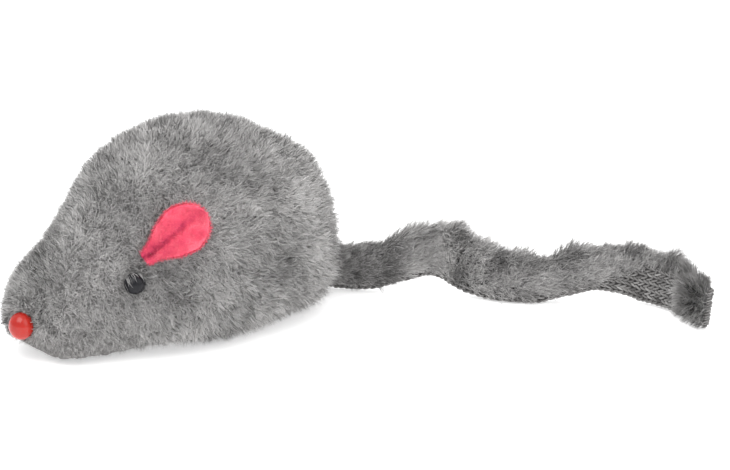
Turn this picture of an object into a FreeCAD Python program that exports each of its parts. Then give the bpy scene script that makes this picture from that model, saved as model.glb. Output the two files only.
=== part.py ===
import FreeCAD, Part
import math
import os

Vec = FreeCAD.Vector

# Millimetres. The nose points along -Y, the tail along +Y, +X is the mouse's left side, +Z is up.
# The floor is z = 0, x = 0 is the mid-plane, and y = 0 is directly above the drive axle's line on the floor.

doc = FreeCAD.newDocument("clockwork_mouse")
sheet = doc.addObject("Spreadsheet::Sheet", "Sizes")

SIZES = [
    ("body_length", "74"),
    ("nose_reach", "44"),
    ("half_width", "22"),
    ("body_top", "46"),
    ("pile_depth", "4.2"),
    ("soft_gap", "0.4"),
    ("shell_wall", "1.2"),
    ("hem_height", "0.8"),
    ("plate_bottom", "2.4"),
    ("plate_thick", "1.6"),
    ("wheel_radius", "8"),
    ("wheel_width", "3"),
    ("wheel_track", "21"),
    ("tyre_thick", "1.1"),
    ("axle_radius", "1"),
    ("run_gap", "0.05"),
    ("gear_module", "0.6"),
    ("frame_half", "7"),
    ("frame_thick", "1"),
    ("arbor_radius", "1.3"),
    ("pillar_radius", "1.2"),
    ("spring_width", "4.4"),
    ("spring_thick", "0.35"),
    ("key_stand", "10.5"),
    ("key_lobe", "4.2"),
    ("key_spread", "5.4"),
    ("key_thick", "1.4"),
    ("front_radius", "5"),
    ("front_width", "5"),
    ("front_place", "27"),
    ("eye_radius", "2.3"),
    ("nose_bead_radius", "2.7"),
    ("ear_length", "16.4"),
    ("ear_width", "11.6"),
    ("felt_thick", "1.1"),
    ("tail_reach", "1"),
    ("tail_half_height", "5"),
    ("tail_half_thick", "3.3"),
]
for row, (alias, value) in enumerate(SIZES, start=1):
    sheet.set("A%d" % row, alias)
    sheet.set("B%d" % row, value)
    sheet.setAlias("B%d" % row, alias)

# Sizes worked out from the driving ones: the gear centres stand on each other at fixed angles.
DERIVED = [
    ("plate_top", "=plate_bottom + plate_thick"),
    ("centre_drive", "=gear_module * 21"),
    ("centre_great", "=gear_module * 24"),
    ("drive_z", "=wheel_radius"),
    ("second_y", "=-0.754 * centre_drive"),
    ("second_z", "=drive_z + 0.6569 * centre_drive"),
    ("great_y", "=second_y + 0.868 * centre_great"),
    ("great_z", "=second_z + 0.4966 * centre_great"),
    ("wheel_place", "=wheel_track / 2"),
    ("pin_back_y", "=great_y + 12.9"),
    ("pin_back_z", "=great_z - 3.6"),
    ("pin_low_y", "=9.4"),
    ("pin_low_z", "=drive_z + 1.6"),
    ("pin_high_y", "=great_y - 12.2"),
    ("pin_high_z", "=great_z + 6.2"),
    ("pin_front_y", "=second_y - 8.6"),
    ("pin_front_z", "=second_z - 9"),
    ("rear_y", "=body_length - nose_reach"),
    ("key_reach", "=half_width + key_stand"),
    ("tail_pivot_y", "=rear_y + 3.6"),
]
for row, (alias, formula) in enumerate(DERIVED, start=len(SIZES) + 1):
    sheet.set("A%d" % row, alias)
    sheet.set("B%d" % row, formula)
    sheet.setAlias("B%d" % row, alias)
doc.recompute()


def size(alias):
    return float(getattr(sheet, alias))


def tie(obj, prop, text):
    # Writes a size, or a sum of sizes, into a property as an expression on the sheet.
    for alias in sorted([a for a, _ in SIZES + DERIVED], key=len, reverse=True):
        text = text.replace("{" + alias + "}", "Sizes." + alias)
    obj.setExpression(prop, text)


def box(name, low, high):
    # A box between two corners, each corner three expressions.
    obj = doc.addObject("Part::Box", name)
    for prop, axis, a, b in zip(("Length", "Width", "Height"), "xyz", low, high):
        tie(obj, prop, "(%s) - (%s)" % (b, a))
        tie(obj, "Placement.Base." + axis, a)
    return obj


TURNS = {
    "X": FreeCAD.Rotation(Vec(0, 1, 0), 90),
    "Y": FreeCAD.Rotation(Vec(1, 0, 0), -90),
    "Z": FreeCAD.Rotation(),
}


def rod(name, axis, radius, length, x, y, z):
    # A cylinder that starts at x, y, z and runs along +axis.
    obj = doc.addObject("Part::Cylinder", name)
    obj.Placement = FreeCAD.Placement(Vec(0, 0, 0), TURNS[axis])
    tie(obj, "Radius", radius)
    tie(obj, "Height", length)
    tie(obj, "Placement.Base.x", x)
    tie(obj, "Placement.Base.y", y)
    tie(obj, "Placement.Base.z", z)
    return obj


def ball(name, radius, x, y, z):
    obj = doc.addObject("Part::Sphere", name)
    tie(obj, "Radius", radius)
    tie(obj, "Placement.Base.x", x)
    tie(obj, "Placement.Base.y", y)
    tie(obj, "Placement.Base.z", z)
    return obj


def fuse(name, pieces):
    if len(pieces) == 1:
        return pieces[0]
    obj = doc.addObject("Part::MultiFuse", name)
    obj.Shapes = pieces
    return obj


def group(name, pieces):
    # Identical fasteners kept together as one compound of separate solids.
    obj = doc.addObject("Part::Compound", name)
    obj.Links = pieces
    return obj


def cut(name, base, tools):
    obj = doc.addObject("Part::Cut", name)
    obj.Base = base
    obj.Tool = fuse(name + "_tools", tools)
    return obj


def carve(name, base, tools):
    # The same as cut, one tool after another, which the lofted cover needs.
    for i, tool in enumerate(tools, start=1):
        obj = doc.addObject("Part::Cut", name if i == len(tools) else "%s_step_%d" % (name, i))
        obj.Base = base
        obj.Tool = tool
        obj.Refine = False
        base = obj
    return base


def common(name, first, second):
    obj = doc.addObject("Part::MultiCommon", name)
    obj.Shapes = [first, second]
    return obj


def feature(name, shape, placement=None):
    obj = doc.addObject("Part::Feature", name)
    obj.Shape = shape
    if placement is not None:
        obj.Placement = placement
    return obj


# ---- The mouse's body: one table of cross-sections gives every skin ----
# Place along the body from nose to rump (0 to 1), half width, top and bottom as shares of the driving sizes.
STATIONS = [
    (0.00, 0.23, 0.290, 4.0),
    (0.06, 0.46, 0.462, 0.4),
    (0.18, 0.61, 0.700, -1.0),
    (0.35, 0.83, 0.920, -1.0),
    (0.52, 1.00, 1.000, -1.0),
    (0.70, 0.94, 0.950, -1.0),
    (0.86, 0.75, 0.825, -1.0),
    (0.96, 0.52, 0.665, 1.6),
    (1.00, 0.25, 0.470, 6.5),
]


def station(place):
    # The section at a place along the body: a smooth curve through the table's rows.
    rows = STATIONS
    k = 0
    while k < len(rows) - 2 and place > rows[k + 1][0]:
        k += 1
    span = rows[k + 1][0] - rows[k][0]
    share = (place - rows[k][0]) / span

    def slope(i, column):
        low, high = max(i - 1, 0), min(i + 1, len(rows) - 1)
        before = (rows[i][column] - rows[low][column]) / max(rows[i][0] - rows[low][0], 1e-9)
        after = (rows[high][column] - rows[i][column]) / max(rows[high][0] - rows[i][0], 1e-9)
        if i in (0, len(rows) - 1):
            return before + after
        if before * after <= 0:
            return 0.0
        return 2 * before * after / (before + after)

    values = []
    for column in (1, 2, 3):
        a, b = rows[k][column], rows[k + 1][column]
        m, n = slope(k, column) * span, slope(k + 1, column) * span
        t = share
        values.append(a * (1 + 2 * t) * (1 - t) ** 2 + m * t * (1 - t) ** 2
                      + b * t * t * (3 - 2 * t) - n * t * t * (1 - t))
    return values


PLACES = [0, 0.03, 0.06, 0.11, 0.18, 0.26, 0.35, 0.44, 0.52, 0.61, 0.7, 0.78, 0.86, 0.91, 0.96, 1]


def ring(y, half, top, middle, bottom):
    # One closed section in two halves: elliptical above its widest line, squarer below it.
    points = []
    for i in range(25):
        a = 2 * math.pi * i / 24 - math.pi / 2
        c, s = math.cos(a), math.sin(a)
        if s >= 0:
            points.append(Vec(half * c, y, middle + (top - middle) * s))
        else:
            power = 2 / 3.4
            wide = math.copysign(abs(c) ** power, c)
            deep = abs(s) ** power
            points.append(Vec(half * wide, y, middle - (middle - bottom) * deep))
    right = Part.BSplineCurve()
    right.interpolate(points[:13])
    left = Part.BSplineCurve()
    left.interpolate(points[12:])
    return Part.Wire([right.toShape(), left.toShape()])


def skin(inset, low):
    # The body's surface brought in by inset. Low moves the bottom line down for the inner skins.
    length = size("body_length")
    start = -size("nose_reach")
    narrow = 1 - inset / size("half_width")
    shrink = 1 - inset / size("body_top")
    rings = []
    for place in PLACES:
        wide, tall, bottom = station(place)
        y = start + inset + place * (length - 2 * inset)
        top = tall * size("body_top") * shrink
        middle = bottom + 0.45 * (tall * size("body_top") - bottom)
        middle = min(middle, 0.5 * (top + bottom) + 0.5)
        half = wide * size("half_width") * narrow
        rise = min(1.0, max(0.0, (bottom + 1) / 4))
        base = bottom - low * (1 - rise) + 0.35 * inset * rise
        rings.append(ring(y, half, top, middle, base))
    return Part.makeLoft(rings, True, False)


INSET_COVER = size("pile_depth")
INSET_SHELL = INSET_COVER + size("soft_gap")
INSET_ROOM = INSET_SHELL + size("shell_wall")
cover_skin = feature("cover_skin", skin(0.0, 0.0))
cover_room = feature("cover_room", skin(INSET_COVER, 2.0))
shell_skin = feature("shell_skin", skin(INSET_SHELL, 2.0))
shell_room = feature("shell_room", skin(INSET_ROOM, 2.0))

WIDE = "({half_width} + 20)"
LONG = "({body_length} + 20)"
TALL = "({body_top} + 20)"


def slab(name, bottom, top):
    return box(name, ("-" + WIDE, "-" + LONG, bottom), (WIDE, LONG, top))


# ---- Beads ----
EYE_Y = "-{nose_reach} + 0.255 * {body_length}"
EYE_Z = "0.400 * {body_top}"
EYE_X = "0.660 * {half_width}"
NOSE_Y = "-{nose_reach} - 0.2"
NOSE_Z = "8.4"


def eye(name, side, grow):
    bead = ball(name + "_bead", "{eye_radius} + %g" % grow, "%d * (%s)" % (side, EYE_X), EYE_Y, EYE_Z)
    start = "%d * 0.45 * {half_width}" % side if side > 0 else "-(%s)" % EYE_X
    stem_long = "(%s) - 0.45 * {half_width}" % EYE_X
    stem = rod(name + "_stem", "X", "0.6 + %g" % grow, stem_long, start, EYE_Y, EYE_Z)
    return fuse(name, [bead, stem])


left_eye = eye("left_eye", 1, 0.0)
right_eye = eye("right_eye", -1, 0.0)
eye_rooms = [eye("left_eye_room", 1, 0.25), eye("right_eye_room", -1, 0.25)]


def nose(name, grow):
    bead = doc.addObject("Part::Ellipsoid", name + "_bead")
    tie(bead, "Radius1", "{nose_bead_radius} * 1.1 + %g" % grow)
    tie(bead, "Radius2", "{nose_bead_radius} + %g" % grow)
    tie(bead, "Radius3", "{nose_bead_radius} + %g" % grow)
    tie(bead, "Placement.Base.y", NOSE_Y)
    tie(bead, "Placement.Base.z", NOSE_Z)
    stem = rod(name + "_stem", "Y", "0.7 + %g" % grow, "6.3", "0", NOSE_Y, NOSE_Z)
    return fuse(name, [bead, stem])


nose_bead = nose("nose_bead", 0.0)
nose_room = nose("nose_room", 0.25)

# ---- Felt ears: a teardrop of felt cupped across its width ----
# The left ear stands up; the right one lies lower, along the head, and is mirrored after it is made.
LEFT_WAY = Vec(0.35, 0.71, 0.61).normalize()
RIGHT_WAY = Vec(0.25, 0.93, 0.27).normalize()


def ear_shape(grow, way):
    out = Vec(0.80, -0.55, 0.20)
    out = (out - way * out.dot(way)).normalize()
    side = out.cross(way)
    long = size("ear_length")
    wide = size("ear_width") / 2
    outline = [(0.0, 0.22), (0.18, 0.42), (0.42, 0.82), (0.66, 1.0), (0.86, 0.78), (0.97, 0.36)]
    upper = [Vec(u * (long + 2 * grow), v * wide + 1.5 * grow, 0) for u, v in outline]
    lower = [Vec(p.x, -p.y, 0) for p in reversed(upper)]
    tip = [Vec(long + 3 * grow, 0, 0)]
    curve = Part.BSplineCurve()
    curve.interpolate(upper + tip + lower)
    close = Part.makeLine(lower[-1], upper[0])
    face = Part.Face(Part.Wire([curve.toShape(), close]))
    prism = face.extrude(Vec(0, 0, 20))
    prism.translate(Vec(-grow, 0, -8))
    bend = 1.15 * size("ear_width")
    thick = size("felt_thick")
    outer = Part.makeCylinder(bend + grow, 2 * long, Vec(-long / 2, 0, bend), Vec(1, 0, 0))
    inner = Part.makeCylinder(bend - thick - grow, 2 * long, Vec(-long / 2, 0, bend), Vec(1, 0, 0))
    cup = prism.common(outer.cut(inner))
    low = max(cup.Solids, key=lambda s: s.BoundBox.ZMax < bend)
    turn = FreeCAD.Matrix(
        way.x, side.x, out.x, 0,
        way.y, side.y, out.y, 0,
        way.z, side.z, out.z, 0,
        0, 0, 0, 1)
    low = low.transformed(turn)
    root = Vec(
        0.655 * size("half_width"),
        -size("nose_reach") + 0.288 * size("body_length"),
        0.525 * size("body_top"))
    low.translate(root)
    return low


def mirrored(shape):
    return shape.mirror(Vec(0, 0, 0), Vec(1, 0, 0))


left_ear = feature("left_ear", ear_shape(0.0, LEFT_WAY))
right_ear = feature("right_ear", mirrored(ear_shape(0.0, RIGHT_WAY)))
ear_rooms = [feature("left_ear_room", ear_shape(0.25, LEFT_WAY)),
             feature("right_ear_room", mirrored(ear_shape(0.25, RIGHT_WAY)))]

# ---- Stitch that holds the tail: one leg through the tail's root, one into the body, a knot inside ----
stitch_leg = rod("stitch_leg", "Z", "0.35", "11.7", "0", "{tail_pivot_y}", "0.9")
stitch_bar = rod("stitch_bar", "Y", "0.35", "12.6", "0", "{tail_pivot_y} - 12.6", "12.6")
stitch_turn = ball("stitch_turn", "0.45", "0", "{tail_pivot_y}", "12.6")
stitch_knot = ball("stitch_knot", "1", "0", "{tail_pivot_y} - 12.6", "12.6")
tail_stitch = fuse("tail_stitch", [stitch_leg, stitch_bar, stitch_turn, stitch_knot])
stitch_room = rod("stitch_room", "Y", "0.55", "11", "0", "{tail_pivot_y} - 10.5", "12.6")

# ---- Plush cover ----


def straight_mouth():
    # The hem's opening goes straight down from the plate's underside, so the plate can be lifted in from below.
    level = size("plate_bottom") + 0.02
    wires = cover_room.Shape.slice(Vec(0, 0, 1), level)
    face = Part.Face(Part.Wire(Part.sortEdges(wires[0].Edges)[0]))
    return face.extrude(Vec(0, 0, -level - 2))


cover_mouth = feature("cover_mouth", straight_mouth())
cover_blank = cut("cover_blank", common("cover_above_hem", cover_skin, slab("above_hem", "{hem_height}", TALL)),
                  [cover_room, cover_mouth])
key_room = rod("key_room", "X", "{arbor_radius} + 1.1", WIDE, "-" + WIDE, "{great_y}", "{great_z}")
plush_cover = carve("plush_cover", cover_blank, eye_rooms + [nose_room, stitch_room, key_room] + ear_rooms)

# ---- Base plate and shell ----
SCREW_PLACES = [("0", "-{nose_reach} + {pile_depth} + 4.5"), ("-4.6", "{rear_y} - 10.4"), ("4.6", "{rear_y} - 10.4")]
shell_blank = cut("shell_blank", common("shell_above_plate", shell_skin, slab("above_plate", "{plate_top}", TALL)),
                  [shell_room])
posts = []
for i, (x, y) in enumerate(SCREW_PLACES):
    post = rod("post_%d" % i, "Z", "2", "40", x, y, "{plate_top}")
    post_hole = rod("post_hole_%d" % i, "Z", "0.85", "3.1", x, y, "{plate_top}")
    posts.append(common("post_in_shell_%d" % i, cut("drilled_post_%d" % i, post, [post_hole]), shell_skin))
shell_with_posts = fuse("shell_with_posts", [shell_blank] + posts)
shell_key_hole = rod("shell_key_hole", "X", "{arbor_radius} + 0.6", WIDE, "-" + WIDE, "{great_y}", "{great_z}")
eye_holes = rod("eye_holes", "X", "0.65", "2 * " + WIDE, "-" + WIDE, EYE_Y, EYE_Z)
nose_hole = rod("nose_hole", "Y", "0.75", "6.8", "0", NOSE_Y, NOSE_Z)
stitch_hole = rod("stitch_hole", "Y", "0.55", "11", "0", "{tail_pivot_y} - 11.2", "12.6")
body_shell = cut("body_shell", shell_with_posts,
                 [shell_key_hole, eye_holes, nose_hole, stitch_hole])

plate_blank = common("plate_blank", shell_skin, slab("plate_slab", "{plate_bottom}", "{plate_top}"))
FRONT_Y = "-{front_place}"
lugs = []
for side in (-1, 1):
    x0 = "%d * ({front_width} / 2 + 0.4)" % side
    x1 = "%d * ({front_width} / 2 + 1.6)" % side
    low, high = (x0, x1) if side > 0 else (x1, x0)
    lugs.append(box("lug_%d" % (side + 1), (low, FRONT_Y + " - 1.8", "{plate_top} - 0.4"),
                    (high, FRONT_Y + " + 1.8", "{front_radius} + 2")))
plate_with_lugs = fuse("plate_with_lugs", [plate_blank] + lugs)
TAB_PLACES = [("-{frame_half} - 3.2", "12.3"), ("{frame_half} + 3.2", "12.3"),
              ("-{frame_half} - 3.2", "-15.4"), ("{frame_half} + 3.2", "-15.4")]
plate_tools = [
    box("slot_left", ("{wheel_place} - {wheel_width} / 2 - 0.5", "-{wheel_radius} - 0.5", "0"),
        ("{wheel_place} + {wheel_width} / 2 + 0.5", "{wheel_radius} + 0.5", "{plate_top} + 1")),
    box("slot_right", ("-{wheel_place} - {wheel_width} / 2 - 0.5", "-{wheel_radius} - 0.5", "0"),
        ("-{wheel_place} + {wheel_width} / 2 + 0.5", "{wheel_radius} + 0.5", "{plate_top} + 1")),
    box("slot_front", ("-{front_width} / 2 - 0.35", FRONT_Y + " - {front_radius} - 0.6", "0"),
        ("{front_width} / 2 + 0.35", FRONT_Y + " + {front_radius} + 0.6", "{front_radius} + 9")),
    box("gear_window", ("0.8", "-5", "0"), ("5.4", "5", "{plate_top} + 1")),
    rod("front_lug_holes", "X", "0.8", "12", "-6", FRONT_Y, "{front_radius}"),
]
base_screws = []
for i, (x, y) in enumerate(SCREW_PLACES):
    plate_tools.append(rod("seat_%d" % i, "Z", "1.9", "0.9 + {plate_bottom}", x, y, "0"))
    plate_tools.append(rod("way_%d" % i, "Z", "0.9", "{plate_top} + 1", x, y, "0"))
    head = rod("screw_head_%d" % i, "Z", "1.7", "0.8", x, y, "{plate_bottom} + 0.08")
    shank = rod("screw_shank_%d" % i, "Z", "0.8", "{plate_thick} + 2.4", x, y, "{plate_bottom} + 0.4")
    drive = box("screw_cross_%d" % i, (x + " - 1.2", y + " - 0.2", "{plate_bottom}"),
                (x + " + 1.2", y + " + 0.2", "{plate_bottom} + 0.38"))
    base_screws.append(cut("base_screw_%d" % i, fuse("screw_body_%d" % i, [head, shank]), [drive]))
motor_screws = []
for i, (x, y) in enumerate(TAB_PLACES):
    plate_tools.append(rod("tab_seat_%d" % i, "Z", "1.6", "0.9 + {plate_bottom}", x, y, "0"))
    plate_tools.append(rod("tab_way_%d" % i, "Z", "0.8", "{plate_top} + 1", x, y, "0"))
    head = rod("tab_head_%d" % i, "Z", "1.4", "0.8", x, y, "{plate_bottom} + 0.08")
    shank = rod("tab_shank_%d" % i, "Z", "0.7", "{plate_thick} + 1.8", x, y, "{plate_bottom} + 0.4")
    drive = box("tab_cross_%d" % i, (x + " - 1", y + " - 0.18", "{plate_bottom}"),
                (x + " + 1", y + " + 0.18", "{plate_bottom} + 0.38"))
    motor_screws.append(cut("motor_screw_%d" % i, fuse("tab_body_%d" % i, [head, shank]), [drive]))
base_plate = cut("base_plate", plate_with_lugs, plate_tools)
base_screws = group("base_screws", base_screws)
motor_screws = group("motor_screws", motor_screws)

# ---- Motor frames: two stamped plates with a foot tab at each end, held apart by pillars ----
PINS = [("{pin_back_y}", "{pin_back_z}"), ("{pin_low_y}", "{pin_low_z}"),
        ("{pin_high_y}", "{pin_high_z}"), ("{pin_front_y}", "{pin_front_z}")]
BEARINGS = [("0", "{drive_z}", "{axle_radius}"), ("{second_y}", "{second_z}", "0.9"),
            ("{great_y}", "{great_z}", "{arbor_radius}")]


def motor_frame(name, side):
    inner = "{frame_half}"
    outer = "({frame_half} + {frame_thick})"

    def across(a, b):
        return (a, b) if side > 0 else ("-" + b, "-" + a)

    x0, x1 = across(inner, outer)
    body = [
        box(name + "_web", (x0, "{pin_front_y} - 2.4", "{plate_top} + 0.02"),
            (x1, "13.6", "{great_z} - 1")),
        box(name + "_top", (x0, "{pin_high_y} - 2.4", "{great_z} - 2"),
            (x1, "{great_y} + 5", "{pin_high_z} + 2.4")),
        rod(name + "_ear", "X", "2.4", "{frame_thick}", x0, "{pin_back_y}", "{pin_back_z}"),
        box(name + "_neck", (x0, "{great_y} + 2", "{pin_back_z} - 2.4"), (x1, "{pin_back_y}", "{pin_back_z} + 2.4")),
    ]
    for i, y in enumerate(("12.3", "-15.4")):
        a, b = across(outer, "({frame_half} + {frame_thick} + 3.7)")
        body.append(box("%s_foot_%d" % (name, i), (a, y + " - 1.9", "{plate_top} + 0.02"),
                        (b, y + " + 1.9", "{plate_top} + 1.02")))
    holes = []
    for i, (y, z, r) in enumerate(BEARINGS):
        holes.append(rod("%s_bearing_%d" % (name, i), "X", r + " + {run_gap}", "{frame_thick} + 2",
                         "(%s) - 1" % x0, y, z))
    for i, (y, z) in enumerate(PINS):
        holes.append(rod("%s_pin_%d" % (name, i), "X", "0.72", "{frame_thick} + 2", "(%s) - 1" % x0, y, z))
    for i, y in enumerate(("12.3", "-15.4")):
        x = "%d * ({frame_half} + 3.2)" % side
        holes.append(rod("%s_tab_hole_%d" % (name, i), "Z", "0.72", "3", x, y, "{plate_top} - 1"))
    return cut(name, fuse(name + "_body", body), holes)


motor_frame_left = motor_frame("motor_frame_left", 1)
motor_frame_right = motor_frame("motor_frame_right", -1)

pillars = []
for i, (y, z) in enumerate(PINS):
    middle = rod("pillar_middle_%d" % i, "X", "{pillar_radius}", "2 * {frame_half} - 0.02",
                 "-{frame_half} + 0.01", y, z)
    ends = rod("pillar_ends_%d" % i, "X", "0.7", "2 * {frame_half} + 2 * {frame_thick} + 0.6",
               "-{frame_half} - {frame_thick} - 0.3", y, z)
    pillars.append(fuse("pillar_%d" % i, [middle, ends]))
frame_pillars = group("frame_pillars", pillars)

# ---- Gears ----
ADDENDUM = 0.75
DEDENDUM = 1.0
SLACK = 0.10


def involute_face(teeth, first_tooth):
    # Outline of an involute gear, 20 degree pressure angle, first tooth centred on the angle first_tooth.
    module = size("gear_module")
    pitch = module * teeth / 2
    base = pitch * math.cos(math.radians(20))
    tip = pitch + ADDENDUM * module
    root = pitch - DEDENDUM * module
    roll = math.tan(math.radians(20)) - math.radians(20)
    half_tooth = (math.pi * module / 2 - SLACK) / 2 / pitch
    start = max(base, root)
    edges = []
    last = None
    first = None
    for k in range(teeth):
        centre = first_tooth + 2 * math.pi * k / teeth
        flank = []
        for i in range(7):
            r = start + (tip - start) * i / 6
            spread = math.acos(base / r)
            lean = half_tooth + roll - (math.tan(spread) - spread)
            flank.append((r, lean))
        rise = [Vec(r * math.cos(centre - a), r * math.sin(centre - a), 0) for r, a in flank]
        fall = [Vec(r * math.cos(centre + a), r * math.sin(centre + a), 0) for r, a in reversed(flank)]
        lean = flank[0][1]
        if root < start:
            foot_in = Vec(root * math.cos(centre - lean), root * math.sin(centre - lean), 0)
            foot_out = Vec(root * math.cos(centre + lean), root * math.sin(centre + lean), 0)
        else:
            foot_in, foot_out = rise[0], fall[-1]
        if last is not None:
            gap = centre - math.pi / teeth
            bottom = Vec(root * math.cos(gap), root * math.sin(gap), 0)
            edges.append(Part.Arc(last, bottom, foot_in).toShape())
        else:
            first = foot_in
        if root < start:
            edges.append(Part.makeLine(foot_in, rise[0]))
        up = Part.BSplineCurve()
        up.interpolate(rise)
        edges.append(up.toShape())
        top = Vec(tip * math.cos(centre), tip * math.sin(centre), 0)
        edges.append(Part.Arc(rise[-1], top, fall[0]).toShape())
        down = Part.BSplineCurve()
        down.interpolate(fall)
        edges.append(down.toShape())
        if root < start:
            edges.append(Part.makeLine(fall[-1], foot_out))
        last = foot_out
    gap = first_tooth - math.pi / teeth
    bottom = Vec(root * math.cos(gap), root * math.sin(gap), 0)
    edges.append(Part.Arc(last, bottom, first).toShape())
    return Part.Face(Part.Wire(edges))


# Turns a gear drawn in the XY plane so that it lies in the YZ plane with its axis along +X.
TO_AXLE = FreeCAD.Rotation(Vec(1, 1, 1), 120)


def gear(teeth, first_tooth, thick, bore):
    solid = involute_face(teeth, first_tooth).extrude(Vec(0, 0, thick))
    return solid.cut(Part.makeCylinder(bore, thick, Vec(0, 0, 0)))


def on_axle(name, shape, x, y, z):
    return feature(name, shape, FreeCAD.Placement(Vec(x, y, z), TO_AXLE))


GREAT_X = 0.3
GREAT_THICK = 1.4
SECOND_X = 2.6
great_at = Vec(0, size("great_y"), size("great_z"))
second_at = Vec(0, size("second_y"), size("second_z"))
drive_at = Vec(0, 0, size("drive_z"))


def bearing(a, b):
    return math.atan2(b.z - a.z, b.y - a.y)


great_to_second = bearing(great_at, second_at)
second_to_drive = bearing(second_at, drive_at)

# Great wheel: 36 teeth, with a boss on the arbor, four lightening holes and a hole for the click's rivet.
CLICK_RADIUS = 7.4
CLICK_ANGLE = math.radians(75)
click_at = great_at + Vec(0, CLICK_RADIUS * math.cos(CLICK_ANGLE), CLICK_RADIUS * math.sin(CLICK_ANGLE))
wheel = gear(36, great_to_second, GREAT_THICK, size("arbor_radius") + 0.05)
boss = Part.makeCylinder(2.6, 0.7, Vec(0, 0, GREAT_THICK))
boss = boss.cut(Part.makeCylinder(size("arbor_radius") + 0.05, 0.7, Vec(0, 0, GREAT_THICK)))
wheel = wheel.fuse(boss)
hole_place = 11 * size("gear_module")
for i in range(4):
    a = CLICK_ANGLE + math.radians(45 + 90 * i)
    place = Vec(hole_place * math.cos(a), hole_place * math.sin(a), 0)
    wheel = wheel.cut(Part.makeCylinder(3.5 * size("gear_module"), GREAT_THICK, place))
rivet_hole = Vec(CLICK_RADIUS * math.cos(CLICK_ANGLE), CLICK_RADIUS * math.sin(CLICK_ANGLE), 0)
wheel = wheel.cut(Part.makeCylinder(0.62, GREAT_THICK, rivet_hole))
great_wheel = on_axle("great_wheel", wheel, GREAT_X, great_at.y, great_at.z)

# Second gear: a 12-tooth pinion meets the great wheel, a 30-tooth wheel meets the drive pinion.
pinion_tooth = great_to_second + math.pi + math.pi / 12
pinion = gear(12, pinion_tooth, SECOND_X, 0.92)
second_wheel = gear(30, second_to_drive, 1.4, 0.92)
second_wheel.translate(Vec(0, 0, SECOND_X))
compound = pinion.fuse(second_wheel)
hole_place = 5.9 / 0.6 * size("gear_module")
for i in range(5):
    a = 2 * math.pi * i / 5
    place = Vec(hole_place * math.cos(a), hole_place * math.sin(a), SECOND_X)
    compound = compound.cut(Part.makeCylinder(2.5 * size("gear_module"), 1.4, place))
second_gear = on_axle("second_gear", compound, 0, second_at.y, second_at.z)
second_arbor = rod("second_arbor", "X", "0.9", "2 * {frame_half} + 2 * {frame_thick} + 0.6",
                   "-{frame_half} - {frame_thick} - 0.3", "{second_y}", "{second_z}")

# Drive axle, its 12-tooth pinion, two wheels and two rubber tyres.
drive_tooth = second_to_drive + math.pi + math.pi / 12
drive_gear = gear(12, drive_tooth, 2.4, size("axle_radius") + 0.02)
drive_pinion = on_axle("drive_pinion", drive_gear, 2.1, 0, size("drive_z"))
drive_axle = rod("drive_axle", "X", "{axle_radius}", "{wheel_track} + {wheel_width} + 0.6",
                 "-({wheel_track} + {wheel_width} + 0.6) / 2", "0", "{drive_z}")


def road_wheel(name, side):
    x = "%d * {wheel_place} - {wheel_width} / 2" % side
    rim = rod(name + "_rim", "X", "{wheel_radius} - {tyre_thick}", "{wheel_width}", x, "0", "{drive_z}")
    dish = rod(name + "_dish", "X", "{wheel_radius} - {tyre_thick} - 1.1", "0.8",
               x if side < 0 else x + " + {wheel_width} - 0.8", "0", "{drive_z}")
    hub = rod(name + "_hub", "X", "2.2", "0.8", x if side < 0 else x + " + {wheel_width} - 0.8", "0", "{drive_z}")
    bore = rod(name + "_bore", "X", "{axle_radius} + 0.02", "{wheel_width}", x, "0", "{drive_z}")
    blank = cut(name + "_blank", rim, [cut(name + "_recess", dish, [hub])])
    holes = []
    for i in range(5):
        a = math.radians(72 * i + 90)
        y = "%.4f * ({wheel_radius} - {tyre_thick}) * 0.58" % math.cos(a)
        z = "{drive_z} + %.4f * ({wheel_radius} - {tyre_thick}) * 0.58" % math.sin(a)
        holes.append(rod("%s_hole_%d" % (name, i), "X", "0.9", "{wheel_width}", x, y, z))
    return cut(name, blank, [bore] + holes)


def tyre(name, side):
    x = "%d * {wheel_place} - {wheel_width} / 2" % side
    outer = rod(name + "_outer", "X", "{wheel_radius}", "{wheel_width}", x, "0", "{drive_z}")
    inner = rod(name + "_inner", "X", "{wheel_radius} - {tyre_thick} + 0.02", "{wheel_width}", x, "0", "{drive_z}")
    return cut(name, outer, [inner])


left_wheel = road_wheel("left_wheel", 1)
right_wheel = road_wheel("right_wheel", -1)
left_tyre = tyre("left_tyre", 1)
right_tyre = tyre("right_tyre", -1)

# ---- Winding arbor, ratchet wheel and click ----
arbor_long = "{key_reach} - {key_lobe} + {frame_half} + {frame_thick} + 0.2"
winding_arbor = rod("winding_arbor", "X", "{arbor_radius}", arbor_long,
                    "-{key_reach} + {key_lobe} + 0.4", "{great_y}", "{great_z}")
RATCHET_X = -1.2
RATCHET_THICK = 1.2
RATCHET_TIP = 4.9
RATCHET_ROOT = 3.9
RATCHET_TEETH = 12
NOSE_ANGLE = CLICK_ANGLE - math.radians(48)
points = []
for k in range(RATCHET_TEETH):
    drop = NOSE_ANGLE + 2 * math.pi * k / RATCHET_TEETH
    before = drop - math.radians(2)
    points.append(Vec(RATCHET_TIP * math.cos(before), RATCHET_TIP * math.sin(before), 0))
    points.append(Vec(RATCHET_ROOT * math.cos(drop), RATCHET_ROOT * math.sin(drop), 0))
points.append(points[0])
ratchet = Part.Face(Part.makePolygon(points)).extrude(Vec(0, 0, RATCHET_THICK))
ratchet = ratchet.cut(Part.makeCylinder(size("arbor_radius") + 0.02, RATCHET_THICK))
ratchet_wheel = on_axle("ratchet_wheel", ratchet, RATCHET_X, great_at.y, great_at.z)


def around(radius, angle):
    return Vec(radius * math.cos(angle), radius * math.sin(angle), 0)


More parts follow.
